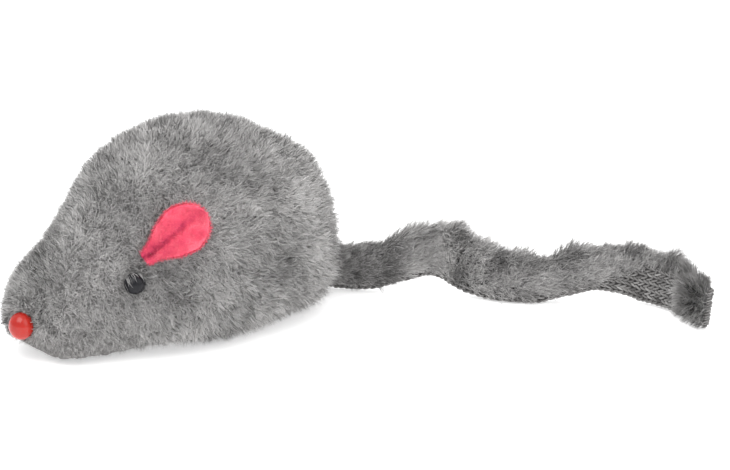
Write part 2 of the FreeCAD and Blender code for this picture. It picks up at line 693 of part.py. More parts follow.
# The click's nose sits in a tooth gap, and its tail is held by the rivet.
nose_back = around(RATCHET_ROOT + 0.12, NOSE_ANGLE + math.radians(3))
nose_front = around(RATCHET_TIP + 0.1, NOSE_ANGLE + math.radians(1.5))
pivot = around(CLICK_RADIUS, CLICK_ANGLE)
outer_side = around(RATCHET_TIP + 1.9, NOSE_ANGLE + math.radians(8))
inner_side = around(RATCHET_TIP + 0.75, NOSE_ANGLE + math.radians(26))
spine = (pivot - nose_front).normalize()
square = Vec(-spine.y, spine.x, 0)
arm = Part.makePolygon([nose_back, inner_side, pivot + square * 1.2, pivot - square * 1.3, outer_side,
                        nose_front, nose_back])
click = Part.Face(arm).extrude(Vec(0, 0, RATCHET_THICK - 0.1))
click = click.fuse(Part.makeCylinder(1.5, RATCHET_THICK - 0.1, pivot))
click = click.cut(Part.makeCylinder(0.65, RATCHET_THICK - 0.1, pivot))
click_pawl = on_axle("click_pawl", click, RATCHET_X, great_at.y, great_at.z)
rivet_pin = Part.makeCylinder(0.6, 3.2, Vec(0, 0, -0.05))
rivet_head = Part.makeCylinder(1.1, 0.25, Vec(0, 0, -0.3))
click_rivet = on_axle("click_rivet", rivet_pin.fuse(rivet_head), RATCHET_X - 0.4, click_at.y, click_at.z)
coil = Part.makeTorus(0.84, 0.16, Vec(0, 0, 0), Vec(0, 0, 1))
click_spring = on_axle("click_spring", coil, RATCHET_X - 0.19, click_at.y, click_at.z)

# ---- Mainspring: a flat spiral from the arbor out to the back pillar ----
SPRING_TURNS = 7
SPRING_IN = size("arbor_radius") + 0.35
SPRING_OUT = 9.0
pillar_at = Vec(size("pin_back_y") - great_at.y, size("pin_back_z") - great_at.z, 0)
hook_angle = math.atan2(pillar_at.y, pillar_at.x)
hook_radius = pillar_at.Length - size("pillar_radius") - 0.08


def spiral(offset):
    places = []
    steps = SPRING_TURNS * 16
    for i in range(steps + 1):
        share = i / steps
        angle = hook_angle - 2 * math.pi * (SPRING_TURNS + 0.25) + 2 * math.pi * SPRING_TURNS * share
        places.append(around(SPRING_IN + (SPRING_OUT - SPRING_IN) * share + offset, angle))
    for i in range(1, 6):
        share = i / 5
        angle = hook_angle - math.pi / 2 * (1 - share)
        swell = share * share * (hook_radius - size("spring_thick") - SPRING_OUT)
        places.append(around(SPRING_OUT + swell + offset, angle))
    curve = Part.BSplineCurve()
    curve.interpolate(places)
    return curve, places


inner_curve, inner_places = spiral(0)
outer_curve, outer_places = spiral(size("spring_thick"))
strip = Part.Wire([inner_curve.toShape(), Part.makeLine(inner_places[-1], outer_places[-1]),
                   outer_curve.toShape(), Part.makeLine(outer_places[0], inner_places[0])])
band = Part.Face(strip).extrude(Vec(0, 0, size("spring_width")))
mainspring = on_axle("mainspring", band, -size("frame_half") + 0.3, great_at.y, great_at.z)

# ---- Key ----
KEY_Z = "{great_z} - {key_thick} / 2"
lobes = []
lobe_holes = []
for i, side in enumerate((-1, 1)):
    y = "{great_y} + %d * {key_spread}" % side
    x = "-{key_reach} + {key_lobe}"
    lobes.append(rod("lobe_%d" % i, "Z", "{key_lobe}", "{key_thick}", x, y, KEY_Z))
    lobe_holes.append(rod("lobe_hole_%d" % i, "Z", "{key_lobe} * 0.52", "{key_thick}", x, y, KEY_Z))
web = box("key_web", ("-{key_reach} + {key_lobe} - 1.7", "{great_y} - 3", KEY_Z),
          ("-{key_reach} + {key_lobe} + 3.4", "{great_y} + 3", KEY_Z + " + {key_thick}"))
hub = rod("key_hub", "X", "{arbor_radius} + 0.9", "6.2", "-{key_reach} + {key_lobe} - 1", "{great_y}", "{great_z}")
key_bore = rod("key_bore", "X", "{arbor_radius} + 0.02", "6", "-{key_reach} + {key_lobe} + 0.38", "{great_y}",
               "{great_z}")
winding_key = cut("winding_key", fuse("key_body", lobes + [web, hub]), lobe_holes + [key_bore])

# ---- Front wheel ----
front_blank = rod("front_blank", "X", "{front_radius}", "{front_width}", "-{front_width} / 2", FRONT_Y,
                  "{front_radius}")
front_grooves = [
    cut("front_groove_%d" % i,
        rod("front_groove_out_%d" % i, "X", "{front_radius} - 1", "0.7", x, FRONT_Y, "{front_radius}"),
        [rod("front_groove_in_%d" % i, "X", "1.8", "0.7", x, FRONT_Y, "{front_radius}")])
    for i, x in enumerate(("-{front_width} / 2", "{front_width} / 2 - 0.7"))]
front_bore = rod("front_bore", "X", "0.75 + {run_gap}", "{front_width}", "-{front_width} / 2", FRONT_Y,
                 "{front_radius}")
front_wheel = cut("front_wheel", front_blank, front_grooves + [front_bore])
front_axle = rod("front_axle", "X", "0.75", "{front_width} + 3.6", "-({front_width} + 3.6) / 2", FRONT_Y,
                 "{front_radius}")

# ---- Tail: a plush strip on its edge, waving away to the mouse's left ----
# Each place is its distance left of and behind the pivot, its middle height, and its half height as a share.
TAIL_LINE = [
    (0.0, 0.0, 5.3, 0.84), (2.6, 3.6, 5.4, 0.96), (6.6, 7.6, 6.0, 1.0), (9.6, 12.4, 7.6, 1.0),
    (11.8, 18.0, 9.3, 1.0), (15.6, 21.6, 9.2, 1.0), (21.4, 23.6, 7.5, 1.0), (26.6, 27.2, 6.0, 1.0),
    (31.4, 31.4, 5.5, 1.0), (35.0, 37.6, 6.6, 1.0), (38.2, 44.0, 7.6, 1.0), (43.6, 50.4, 7.4, 1.0),
    (51.2, 53.8, 6.4, 1.04), (58.4, 54.2, 5.8, 1.08), (64.0, 53.8, 5.8, 1.0),
]
tail_start = Vec(0, size("tail_pivot_y"), 0)
reach = size("tail_reach")
middles = [tail_start + Vec(x * reach, y * reach, z) for x, y, z, _ in TAIL_LINE]
tail_rings = []
for i, (middle, place) in enumerate(zip(middles, TAIL_LINE)):
    before = middles[max(i - 1, 0)]
    after = middles[min(i + 1, len(middles) - 1)]
    along = Vec(after.x - before.x, after.y - before.y, 0).normalize()
    side = Vec(along.y, -along.x, 0)
    tall = min(size("tail_half_height") * place[3], middle.z - 0.2)
    thick = size("tail_half_thick") * (0.8 if i in (0, len(middles) - 1) else 1.0)
    loop = []
    for k in range(16):
        a = 2 * math.pi * k / 16
        loop.append(middle + side * (thick * math.cos(a)) + Vec(0, 0, tall * math.sin(a)))
    curve = Part.BSplineCurve()
    curve.interpolate(loop, PeriodicFlag=True)
    tail_rings.append(Part.Wire([curve.toShape()]))
tail_strip = feature("tail_strip", Part.makeLoft(tail_rings, True, False))
tail_root = rod("tail_root", "Z", "2.9", "7.8", "0", "{tail_pivot_y}", "1.4")
stitch_way = rod("stitch_way", "Z", "0.42", "20", "0", "{tail_pivot_y}", "-1")
tail = cut("tail", fuse("tail_whole", [tail_strip, tail_root]), [stitch_way])

NODES = [
    plush_cover, body_shell, base_plate, base_screws, left_ear, right_ear, left_eye, right_eye, nose_bead,
    tail, tail_stitch, motor_frame_left, motor_frame_right, frame_pillars, motor_screws, mainspring,
    great_wheel, click_rivet, click_spring, click_pawl, winding_arbor, ratchet_wheel, winding_key,
    second_arbor, second_gear, drive_axle, drive_pinion, left_wheel, right_wheel, left_tyre, right_tyre,
    front_axle, front_wheel,
]
doc.recompute()
for obj in doc.Objects:
    if "Invalid" in obj.State or "Error" in obj.State:
        raise RuntimeError("%s did not recompute: %s" % (obj.Name, obj.State))
for node in NODES:
    if node.Shape.isNull() or not node.Shape.isValid():
        raise RuntimeError("%s has no valid shape" % node.Name)
    if not node.Shape.Solids:
        raise RuntimeError("%s has no solid" % node.Name)
os.makedirs("parts", exist_ok=True)
for node in NODES:
    node.Label = node.Name
    node.Shape.exportStep("parts/%s.step" % node.Name)
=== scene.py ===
import math

import bpy
import numpy as np
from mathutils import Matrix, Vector


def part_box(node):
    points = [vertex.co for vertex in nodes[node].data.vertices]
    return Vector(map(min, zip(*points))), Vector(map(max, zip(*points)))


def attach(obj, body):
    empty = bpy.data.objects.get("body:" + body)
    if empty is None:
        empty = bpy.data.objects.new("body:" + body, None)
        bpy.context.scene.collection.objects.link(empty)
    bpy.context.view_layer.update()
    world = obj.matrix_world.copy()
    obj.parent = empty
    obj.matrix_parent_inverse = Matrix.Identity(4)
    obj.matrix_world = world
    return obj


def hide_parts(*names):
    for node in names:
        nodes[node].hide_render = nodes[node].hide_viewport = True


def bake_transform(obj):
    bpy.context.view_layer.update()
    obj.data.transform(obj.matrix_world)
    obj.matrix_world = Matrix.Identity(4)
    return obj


# Everything is in metres in the row frame: nose towards -Y, the mouse's left side +X, the floor at z = 0.
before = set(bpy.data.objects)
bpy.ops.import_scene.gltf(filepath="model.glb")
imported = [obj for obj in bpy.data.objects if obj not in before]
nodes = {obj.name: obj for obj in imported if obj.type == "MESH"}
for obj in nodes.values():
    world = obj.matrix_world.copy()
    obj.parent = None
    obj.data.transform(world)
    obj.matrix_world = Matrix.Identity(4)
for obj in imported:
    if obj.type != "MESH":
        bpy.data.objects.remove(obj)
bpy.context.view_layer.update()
MM = 0.001


# ---------------------------------------------------------------- small helpers

def new_object(name, verts, faces, smooth=True):
    mesh = bpy.data.meshes.new(name)
    verts = np.asarray(verts, np.float32)
    faces = np.asarray(faces, np.int32)
    size = faces.shape[1]
    mesh.vertices.add(len(verts))
    mesh.vertices.foreach_set("co", verts.ravel())
    mesh.loops.add(faces.size)
    mesh.loops.foreach_set("vertex_index", faces.ravel())
    mesh.polygons.add(len(faces))
    mesh.polygons.foreach_set("loop_start", np.arange(0, faces.size, size, dtype=np.int32))
    mesh.polygons.foreach_set("loop_total", np.full(len(faces), size, np.int32))
    mesh.polygons.foreach_set("use_smooth", np.full(len(faces), smooth))
    mesh.update(calc_edges=True)
    obj = bpy.data.objects.new(name, mesh)
    bpy.context.scene.collection.objects.link(obj)
    return obj


def grid_faces(rows, cols, wrap=False):
    i, j = np.meshgrid(np.arange(rows - 1), np.arange(cols if wrap else cols - 1), indexing="ij")
    k = (j + 1) % cols
    return np.stack([i * cols + j, i * cols + k, (i + 1) * cols + k, (i + 1) * cols + j], -1).reshape(-1, 4)


def closed_sheet_faces(rows, cols):
    # Two facing grids joined by a rim: the first grid's points come first, then the second's.
    faces = grid_faces(rows, cols)
    count = rows * cols
    rim = [i * cols for i in range(rows)] + [(rows - 1) * cols + j for j in range(1, cols)]
    rim += [i * cols + cols - 1 for i in range(rows - 2, -1, -1)] + [j for j in range(cols - 2, 0, -1)]
    loop = np.array(rim)
    after = np.roll(loop, -1)
    side = np.stack([after, loop, loop + count, after + count], -1)
    return np.concatenate([faces, faces[:, ::-1] + count, side])


def unit(v):
    return v / np.maximum(np.linalg.norm(v, axis=-1, keepdims=True), 1e-12)


def hermite(xs, ys, x):
    # Smooth curve through a table's points that never overshoots them.
    xs, ys, x = np.asarray(xs, float), np.asarray(ys, float), np.asarray(x, float)
    step = np.diff(xs)
    rise = np.diff(ys) / step
    slope = np.empty_like(ys)
    slope[0], slope[-1] = rise[0], rise[-1]
    a, b = rise[:-1], rise[1:]
    same = a * b > 0
    slope[1:-1] = np.where(same, 2 * a * b / np.where(same, a + b, 1), 0)
    k = np.clip(np.searchsorted(xs, x) - 1, 0, len(xs) - 2)
    t = np.clip((x - xs[k]) / step[k], 0, 1)
    p, q = ys[k], ys[k + 1]
    m, n = slope[k] * step[k], slope[k + 1] * step[k]
    return (p * (1 + 2 * t) * (1 - t) ** 2 + m * t * (1 - t) ** 2
            + q * t * t * (3 - 2 * t) - n * t * t * (1 - t))


class Waves:
    # Smooth random field: a sum of sine waves in random directions, about -1 to 1.
    def __init__(self, seed, scale, count=14):
        rng = np.random.default_rng(seed)
        way = unit(rng.normal(size=(count, 3)))
        self.k = way * (2 * math.pi / scale) * rng.uniform(0.6, 1.6, (count, 1))
        self.phase = rng.uniform(0, 2 * math.pi, count)
        self.count = count

    def __call__(self, p):
        return np.sin(p @ self.k.T + self.phase).sum(-1) / math.sqrt(self.count) * 1.1


def material(name):
    mat = bpy.data.materials.new(name)
    mat.use_nodes = True
    tree = mat.node_tree
    shader = tree.nodes["Principled BSDF"]
    return mat, tree, shader


def node(tree, kind, **values):
    made = tree.nodes.new(kind)
    for key, value in values.items():
        if hasattr(made, key):
            setattr(made, key, value)
        else:
            made.inputs[key.replace("_", " ")].default_value = value
    return made


def ramp(tree, source, stops, interpolation="LINEAR"):
    made = tree.nodes.new("ShaderNodeValToRGB")
    made.color_ramp.interpolation = interpolation
    elements = made.color_ramp.elements
    while len(elements) < len(stops):
        elements.new(0.5)
    for element, (place, colour) in zip(elements, stops):
        element.position = place
        element.color = (*colour, 1)
    tree.links.new(source, made.inputs["Fac"])
    return made.outputs["Color"]


def uv_split(tree):
    # Each piece's UV map carries a tone in X and, for strands, the place along them in Y.
    uv = node(tree, "ShaderNodeUVMap", uv_map="OFBake")
    split = node(tree, "ShaderNodeSeparateXYZ")
    tree.links.new(uv.outputs["UV"], split.inputs["Vector"])
    return split


def object_noise(tree, **values):
    coords = node(tree, "ShaderNodeTexCoord")
    noise = node(tree, "ShaderNodeTexNoise", **values)
    tree.links.new(coords.outputs["Object"], noise.inputs["Vector"])
    return noise


def bump(tree, shader, height, strength, distance):
    made = node(tree, "ShaderNodeBump")
    made.inputs["Strength"].default_value = strength
    made.inputs["Distance"].default_value = distance
    tree.links.new(height, made.inputs["Height"])
    tree.links.new(made.outputs["Normal"], shader.inputs["Normal"])


def grey(v, warm=0.0):
    return (v * (1 + warm), v, v * (1 - warm * 0.6))


def paint(obj, mat):
    obj.data.materials.clear()
    obj.data.materials.append(mat)
    return obj


# ---------------------------------------------------------------- the mouse's surface

# Place along the body, half width and top as shares of the cover's size, and the bottom in millimetres.
STATIONS = [
    (0.00, 0.23, 0.290, 4.0), (0.06, 0.46, 0.462, 0.4), (0.18, 0.61, 0.700, -1.0),
    (0.35, 0.83, 0.920, -1.0), (0.52, 1.00, 1.000, -1.0), (0.70, 0.94, 0.950, -1.0),
    (0.86, 0.75, 0.825, -1.0), (0.96, 0.52, 0.665, 1.6), (1.00, 0.25, 0.470, 6.5),
]
cover_low, cover_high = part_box("plush_cover")
HALF = (cover_high.x - cover_low.x) / 2
TOP = cover_high.z
NOSE = cover_low.y
RUMP = cover_high.y
COLS = 240


def body_grid():
    places = np.linspace(0, 1, 180)
    table = np.array(STATIONS).T
    half = hermite(table[0], table[1], places) * HALF
    top = hermite(table[0], table[2], places) * TOP
    low = hermite(table[0], table[3], places) * MM
    middle = np.minimum(low + 0.45 * (top - low), 0.5 * (top + low) + 0.5 * MM)
    y = NOSE + places * (RUMP - NOSE)
    # Rounded caps close both ends.
    rows = []
    for k in np.linspace(0, math.pi / 2, 9)[:-1]:
        rows.append((y[0] - 1.6 * MM * math.cos(k), half[0] * math.sin(k), top[0], middle[0], low[0],
                     math.sin(k)))
    for i in range(len(places)):
        rows.append((y[i], half[i], top[i], middle[i], low[i], 1.0))
    for k in np.linspace(0, math.pi / 2, 9)[1:]:
        rows.append((y[-1] + 1.2 * MM * math.sin(k), half[-1] * math.cos(k), top[-1], middle[-1], low[-1],
                     math.cos(k)))
    a = 2 * math.pi * np.arange(COLS) / COLS - math.pi / 2
    c, s = np.cos(a), np.sin(a)
    power = 2 / 3.4
    over = s >= 0
    points = []
    for y0, w, t, m, b, shrink in rows:
        x = np.where(over, w * c, w * np.sign(c) * np.abs(c) ** power)
        z = np.where(over, m + (t - m) * s * shrink, m - (m - b) * np.abs(s) ** power * shrink)
        points.append(np.stack([x, np.full(COLS, y0), z], -1))
    return np.array(points)


surface = body_grid()
ROWS = surface.shape[0]
along = np.gradient(surface, axis=0)
around = np.roll(surface, -1, 1) - np.roll(surface, 1, 1)
normals = unit(np.cross(around, along))
centre = surface.mean(1, keepdims=True)
normals *= np.sign((normals * (surface - centre)).sum(-1, keepdims=True).mean())
normals[0] = (0, -1, 0)
normals[-1] = (0, 1, 0)

# The snout narrows to its bead on the left, and its right cheek stands forward a little.
snout = np.clip(1 - (surface[..., 1] - NOSE - 0.2 * MM) / (6.5 * MM), 0, 1) ** 1.3
left_share = np.clip(0.5 + surface[..., 0] / (4 * MM), 0, 1)
surface[..., 0] *= 1 + (0.25 - 0.67 * left_share) * snout
surface[..., 1] += (2.7 * left_share - 0.8) * MM * snout

# A little unevenness, as stuffed and handled plush has.
lumps = Waves(3, 21 * MM)
swell = lumps(surface) * 0.45 * MM
surface = surface + normals * swell[..., None]

# How likely a clump is to root at each grid point: by area, and none under the belly.
cell = np.linalg.norm(np.cross(along, around / 2), axis=-1)
cell[surface[..., 2] < 0.7 * MM] = 0
chance = (cell / cell.sum()).ravel()


def muzzle_share(p):
    # 0 at the nose, 1 from behind the eyes on: the pile is shorter towards the nose.
    return np.clip((p[..., 1] - NOSE) / (26 * MM), 0, 1)


def brow_share(p):
    # 1 over the head at the height of the eyes, where the pile is set deeper, fading to 0 round it.
    return np.exp(-((p[..., 1] + 28 * MM) / (9 * MM)) ** 2) * np.clip((p[..., 2] - 14 * MM) / (8 * MM), 0, 1)


def roots_on_body(count, rng):
    pick = rng.choice(len(chance), count, p=chance)
    r, c = np.unravel_index(pick, (ROWS, COLS))
    fr, fc = rng.uniform(0, 1, count) - 0.5, rng.uniform(0, 1, count) - 0.5
    r2 = np.clip(r + np.sign(fr).astype(int), 0, ROWS - 1)
    c2 = (c + np.sign(fc).astype(int)) % COLS
    p = surface[r, c] + (surface[r2, c] - surface[r, c]) * np.abs(fr)[:, None] \
        + (surface[r, c2] - surface[r, c]) * np.abs(fc)[:, None]
    n = unit(normals[r, c] + (normals[r2, c] - normals[r, c]) * np.abs(fr)[:, None]
             + (normals[r, c2] - normals[r, c]) * np.abs(fc)[:, None])
    return p, n


# ---------------------------------------------------------------- pile

swirl = Waves(11, 17 * MM)
swirl_fine = Waves(12, 5.5 * MM)
patch = Waves(21, 19 * MM)
patch_fine = Waves(22, 6 * MM)


def turn_about(v, axis, angle):
    c, s = np.cos(angle)[:, None], np.sin(angle)[:, None]
    return v * c + np.cross(axis, v) * s + axis * (v * axis).sum(-1, keepdims=True) * (1 - c)


def strands(root, normal, way, length, stand_root, stand_tip, curl, rng, steps=3):
    # Each strand leaves its root at one angle to the surface and lies down towards its tip.
    points = [root]
    at = root
    bend = unit(rng.normal(size=root.shape))
    for i in range(steps):
        share = (i + 0.5) / steps
        stand = stand_root + (stand_tip - stand_root) * share
        step = normal * np.cos(stand)[:, None] + way * np.sin(stand)[:, None] + bend * (curl * share)[:, None]
        at = at + unit(step) * (length / steps)[:, None]
        points.append(at)
    return np.stack(points, 1)


TAPER = (0.8, 1.0, 0.8, 0.22)       # a strand's width from root to tip, as shares of its widest
SOFT = 0.75                         # how much a strand is shaded as part of the surface under it


def fibre_mesh(name, points, normal, width, tone, rng, mat):
    # Flat ribbons, one for each strand, with the strand's tone in the UV map.
    count, levels = points.shape[:2]
    ahead = unit(points[:, -1] - points[:, 0])
    spin = unit(rng.normal(size=(count, 3)) * 0.7 + np.cross(ahead, normal))
    across = unit(spin - ahead * (spin * ahead).sum(-1, keepdims=True))
    face = np.cross(across, ahead)
    across *= np.where((face * normal).sum(-1, keepdims=True) < 0, -1, 1)
    face = np.cross(across, ahead)
    shares = np.interp(np.linspace(0, 1, levels), np.linspace(0, 1, len(TAPER)), TAPER)
    half = (width / 2)[:, None] * shares[None]
    left = points - across[:, None] * half[..., None]
    right = points + across[:, None] * half[..., None]
    verts = np.stack([left, right], 2).reshape(-1, 3)
    base = (np.arange(count) * levels * 2)[:, None]
    quads = []
    for i in range(levels - 1):
        quads.append(base + np.array([[2 * i, 2 * i + 1, 2 * i + 3, 2 * i + 2]]))
    faces = np.stack(quads, 1).reshape(-1, 4)
    obj = new_object(name, verts, faces)
    mesh = obj.data
    shade = unit(normal * SOFT + face * (1 - SOFT) + ahead * 0.12)
    shade = np.repeat(shade, levels * 2, 0)
    uv = mesh.uv_layers.new(name="OFBake")
    u = np.clip(tone, 0.01, 0.99)
    vert_u = np.stack([np.repeat((u + edge)[:, None], levels, 1) for edge in (-0.004, 0.004)], 2)
    vert_v = np.repeat(np.linspace(0.01, 0.99, levels)[None, :, None], 2, 2).repeat(count, 0)
    vert_uv = np.stack([vert_u, vert_v], -1).reshape(-1, 2)
    uv.data.foreach_set("uv", vert_uv[faces.ravel()].astype(np.float32).ravel())
    mesh.normals_split_custom_set_from_vertices(shade.astype(np.float32))
    return paint(obj, mat)


def pile_material(name, dark, light, root, tip, sheen):
    mat, tree, shader = material(name)
    split = uv_split(tree)
    tone = ramp(tree, split.outputs["X"], [(0.0, dark), (1.0, light)])
    length = ramp(tree, split.outputs["Y"], [(0.0, grey(root)), (0.45, grey((root + tip) / 2)),
                                             (0.8, grey(tip)), (1.0, grey(min(tip * 1.15, 1)))])
    mix = node(tree, "ShaderNodeMix", data_type="RGBA", blend_type="MULTIPLY")
    mix.inputs["Factor"].default_value = 1
    tree.links.new(tone, mix.inputs["A"])
    tree.links.new(length, mix.inputs["B"])
    tree.links.new(mix.outputs["Result"], shader.inputs["Base Color"])
    shader.inputs["Roughness"].default_value = 0.75
    shader.inputs["Specular IOR Level"].default_value = 0.25
    shader.inputs["Sheen Weight"].default_value = sheen
    shader.inputs["Sheen Roughness"].default_value = 0.5
    return mat


pile = pile_material("grey_pile", grey(0.10, 0.03), grey(0.78, 0.02), 0.50, 1.0, 0.15)

# Where the beads, the ears and the winding arbor stand in the pile.
eye_low, eye_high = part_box("left_eye")
EYE_R = (eye_high.z - eye_low.z) / 2
EYES = [np.array([eye_high.x - EYE_R, (eye_low.y + eye_high.y) / 2, (eye_low.z + eye_high.z) / 2])]
EYES.append(EYES[0] * (-1, 1, 1))
nose_low, nose_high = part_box("nose_bead")
NOSE_R = (nose_high.x - nose_low.x) / 2
NOSE_C = np.array([0, nose_low.y + NOSE_R, (nose_low.z + nose_high.z) / 2])
arbor_low, arbor_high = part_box("winding_arbor")
ARBOR = np.array([0, (arbor_low.y + arbor_high.y) / 2, (arbor_low.z + arbor_high.z) / 2])
ARBOR_R = (arbor_high.z - arbor_low.z) / 2


def ear_axes(x, y, z):
    long_way = unit(np.array([x, y, z]))
    out = np.array([0.80, -0.55, 0.20])
    out = unit(out - long_way * (out @ long_way))
    return long_way, np.cross(out, long_way), out


# The left ear stands up; the right one lies lower, along the head, and is mirrored.
EAR_AXES = {1: ear_axes(0.35, 0.71, 0.61), -1: ear_axes(0.25, 0.93, 0.27)}
EAR_LONG = 16.4 * MM
EAR_HALF = 5.2 * MM
EAR_ROOT = np.array([0.655 * HALF, NOSE + 0.288 * (RUMP - NOSE), 0.525 * TOP])
# The radius that the ear is cupped to across its width.
EAR_BEND = 2.3 * 5.8 * MM
EAR_OUTLINE = [(0.0, 0.22), (0.18, 0.42), (0.42, 0.82), (0.66, 1.0), (0.86, 0.78), (0.97, 0.36), (1.0, 0.0)]


def ear_half(u):
    # The outline's half width by straight lines, for thickness and for clearing pile.
    xs, ys = np.array(EAR_OUTLINE).T
    return np.interp(u, xs, ys)


def ear_curve(u):
    # The same outline as a smooth curve, for the felt's edge.
    return hermite(*np.array(EAR_OUTLINE).T, u)


def in_ear_frame(p, side):
    q = p * (side, 1, 1) - EAR_ROOT
    along_ear, across_ear, out_ear = EAR_AXES[side]
    return q @ along_ear, q @ across_ear, q @ out_ear


def cup(v):
    # Height of the ear's inside face above its flat plane, at v across it.
    return EAR_BEND - np.sqrt(np.maximum(EAR_BEND ** 2 - v ** 2, 1e-9))


def push_from_ball(points, ball, radius, keep, rng):
    # Strands that would enter a bead lie over it, or are left out.
    away = points - ball
    gap = np.linalg.norm(away, axis=-1)
    inside = (gap < radius).any(1)
    buried = gap[:, 0] < radius
    out = ball + unit(away) * np.maximum(gap, radius + 0.06 * MM)[..., None]
    stays = ~inside | (~buried & (rng.uniform(size=len(points)) < keep))
    points = np.where(inside[:, None, None], out, points)
    return points, stays


def clear_of_fittings(points, rng):
    stays = np.ones(len(points), bool)
    for c in EYES:
        points, ok = push_from_ball(points, c, EYE_R, 0.75, rng)
        stays &= ok
    points, ok = push_from_ball(points, NOSE_C, NOSE_R * 1.12, 0.0, rng)
    stays &= ok
    before_nose = np.linalg.norm(points - NOSE_C - (0, -0.9 * NOSE_R, 0), axis=-1) < NOSE_R * 1.35
    stays &= ~before_nose.any(1)
    flat = points[..., 1:] - ARBOR[1:]
    near = (np.linalg.norm(flat, axis=-1) < ARBOR_R + 0.35 * MM) & (points[..., 0] < 0)
    stays &= ~near.any(1)
    for side in (1, -1):
        u, v, w = in_ear_frame(points, side)
        inside = (u > 2.2 * MM) & (u < EAR_LONG) & (np.abs(v) < ear_half(u / EAR_LONG) * EAR_HALF)
        height = w - cup(v)
        cut = inside & (height > -1.4 * MM) & (height < 0.25 * MM)
        stays &= ~cut.any(1)
        above = inside & (height >= 0.25 * MM) & (u > 5.5 * MM)
        stays &= ~(above.sum(1) >= 2)
    return points, stays


PILE_LOW = 0.3 * MM         # no strand lies nearer to the floor than this


def clumps_on_body(count, per, seed):
    rng = np.random.default_rng(seed)
    p, n = roots_on_body(count, rng)
    down = np.array([0, 0, -1.0])
    back = np.array([0, 1.0, 0])
    face = np.clip((p[:, 1] - NOSE) / (30 * MM), 0, 1)[:, None]
    comb = back * 0.9 + down * (0.55 - 0.35 * (1 - face))
    comb = comb - n * (comb * n).sum(-1, keepdims=True)
    comb = unit(comb + 1e-6)
    comb = turn_about(comb, n, swirl(p) * 0.70 + swirl_fine(p) * 0.8 + rng.normal(size=count) * 0.95)
    length = (3.5 + 0.45 * rng.normal(size=count).clip(-2, 2)) * MM
    muzzle = muzzle_share(p)
    length *= 0.62 + 0.38 * muzzle
    length *= 1 + 0.35 * np.clip((p[:, 1] - 16 * MM) / (10 * MM), 0, 1)
    lean = 0.72 + 0.20 * swirl_fine(p + 0.01) + rng.normal(size=count) * 0.22
    tone = 0.50 + 0.09 * patch(p) + 0.06 * patch_fine(p) + rng.normal(size=count) * 0.08
    # The top of the back is a little darker than the flanks.
    tone -= 0.10 * np.clip((p[:, 2] / TOP - 0.72) / 0.28, 0, 1)
    idx = np.repeat(np.arange(count), per)
    m = len(idx)
    n2, comb2 = n[idx], comb[idx]
    side = np.cross(n2, comb2)
    spread = rng.normal(size=(m, 2)) * 0.52 * MM
    offset = comb2 * spread[:, :1] + side * spread[:, 1:]
    tuck = np.clip(1 - p[idx, 2] / (9 * MM), 0, 1) * (1 - 0.9 * np.exp(-(p[idx, 1] / (11 * MM)) ** 2))
    brow = brow_share(p[idx])
    depth = 2.6 * MM * (0.55 + 0.45 * muzzle[idx]) + 1.5 * MM * tuck + 1.7 * MM * brow
    root = p[idx] + offset - n2 * depth[:, None]
    way = unit(comb2 + rng.normal(size=(m, 3)) * 0.32)
    hair = length[idx] * (0.86 + 0.22 * rng.uniform(size=m)) * (1 - 0.15 * tuck)
    tip = np.clip(lean[idx] + rng.normal(size=m) * 0.13, 0.2, 1.35)
    pts = strands(root, n2, way, hair, tip * 0.45, np.minimum(tip * 1.25, 1.45),
                  np.abs(rng.normal(size=m)) * 0.75, rng)
    # The tips in a clump draw together.
    pull = np.array([0, 0.08, 0.22, 0.38])[None, :, None]
    pts = pts - offset[:, None] * pull
    tones = tone[idx] + rng.normal(size=m) * 0.16
    lift = PILE_LOW + np.abs(rng.normal(size=pts.shape[:2])) * 0.15 * MM
    pts[..., 2] = np.where(pts[..., 2] < PILE_LOW, lift, pts[..., 2])
    pts, stays = clear_of_fittings(pts, rng)
    return pts[stays], n2[stays], tones[stays], rng


CLUMPS = 27000
PER = 7
pts, nrm, tones, rng = clumps_on_body(CLUMPS, PER, 5)


def lashes(rng):
    # Strands from the pile above and before each eye that lie over the bead.
    count = 26
    outward = unit(np.array([0.90, -0.36, 0.24]))
    back = unit(np.cross(np.array([0, 0, 1.0]), outward))
    rise = np.cross(outward, back)
    angle = math.radians(112) + rng.normal(size=count) * 0.55
    rim = (np.cos(angle)[:, None] * back + np.sin(angle)[:, None] * rise) * EYE_R * 0.98
    root = EYES[0] + rim + outward * 0.25 * EYE_R
    lie = unit(back * 0.45 - rise + rng.normal(size=(count, 3)) * 0.16)
    toward = unit(lie - outward * (lie * outward).sum(-1, keepdims=True))
    length = rng.uniform(1.1, 2.3, count) * MM
    made = strands(root, np.repeat(outward[None], count, 0), toward, length, np.full(count, 0.9),
                   np.full(count, 1.6), rng.uniform(0, 0.12, count), rng)
    away = made - EYES[0]
    gap = np.maximum(np.linalg.norm(away, axis=-1), EYE_R + 0.10 * MM)
    made = EYES[0] + unit(away) * gap[..., None]
    return made, unit(made[:, 1] - EYES[0])


lash, lash_normal = lashes(rng)
for side in (1, -1):
    pts = np.concatenate([pts, lash * (side, 1, 1)])
    nrm = np.concatenate([nrm, lash_normal * (side, 1, 1)])
    tones = np.concatenate([tones, rng.uniform(0.15, 0.65, len(lash))])
width = (0.075 + 0.05 * rng.uniform(size=len(pts))) * MM

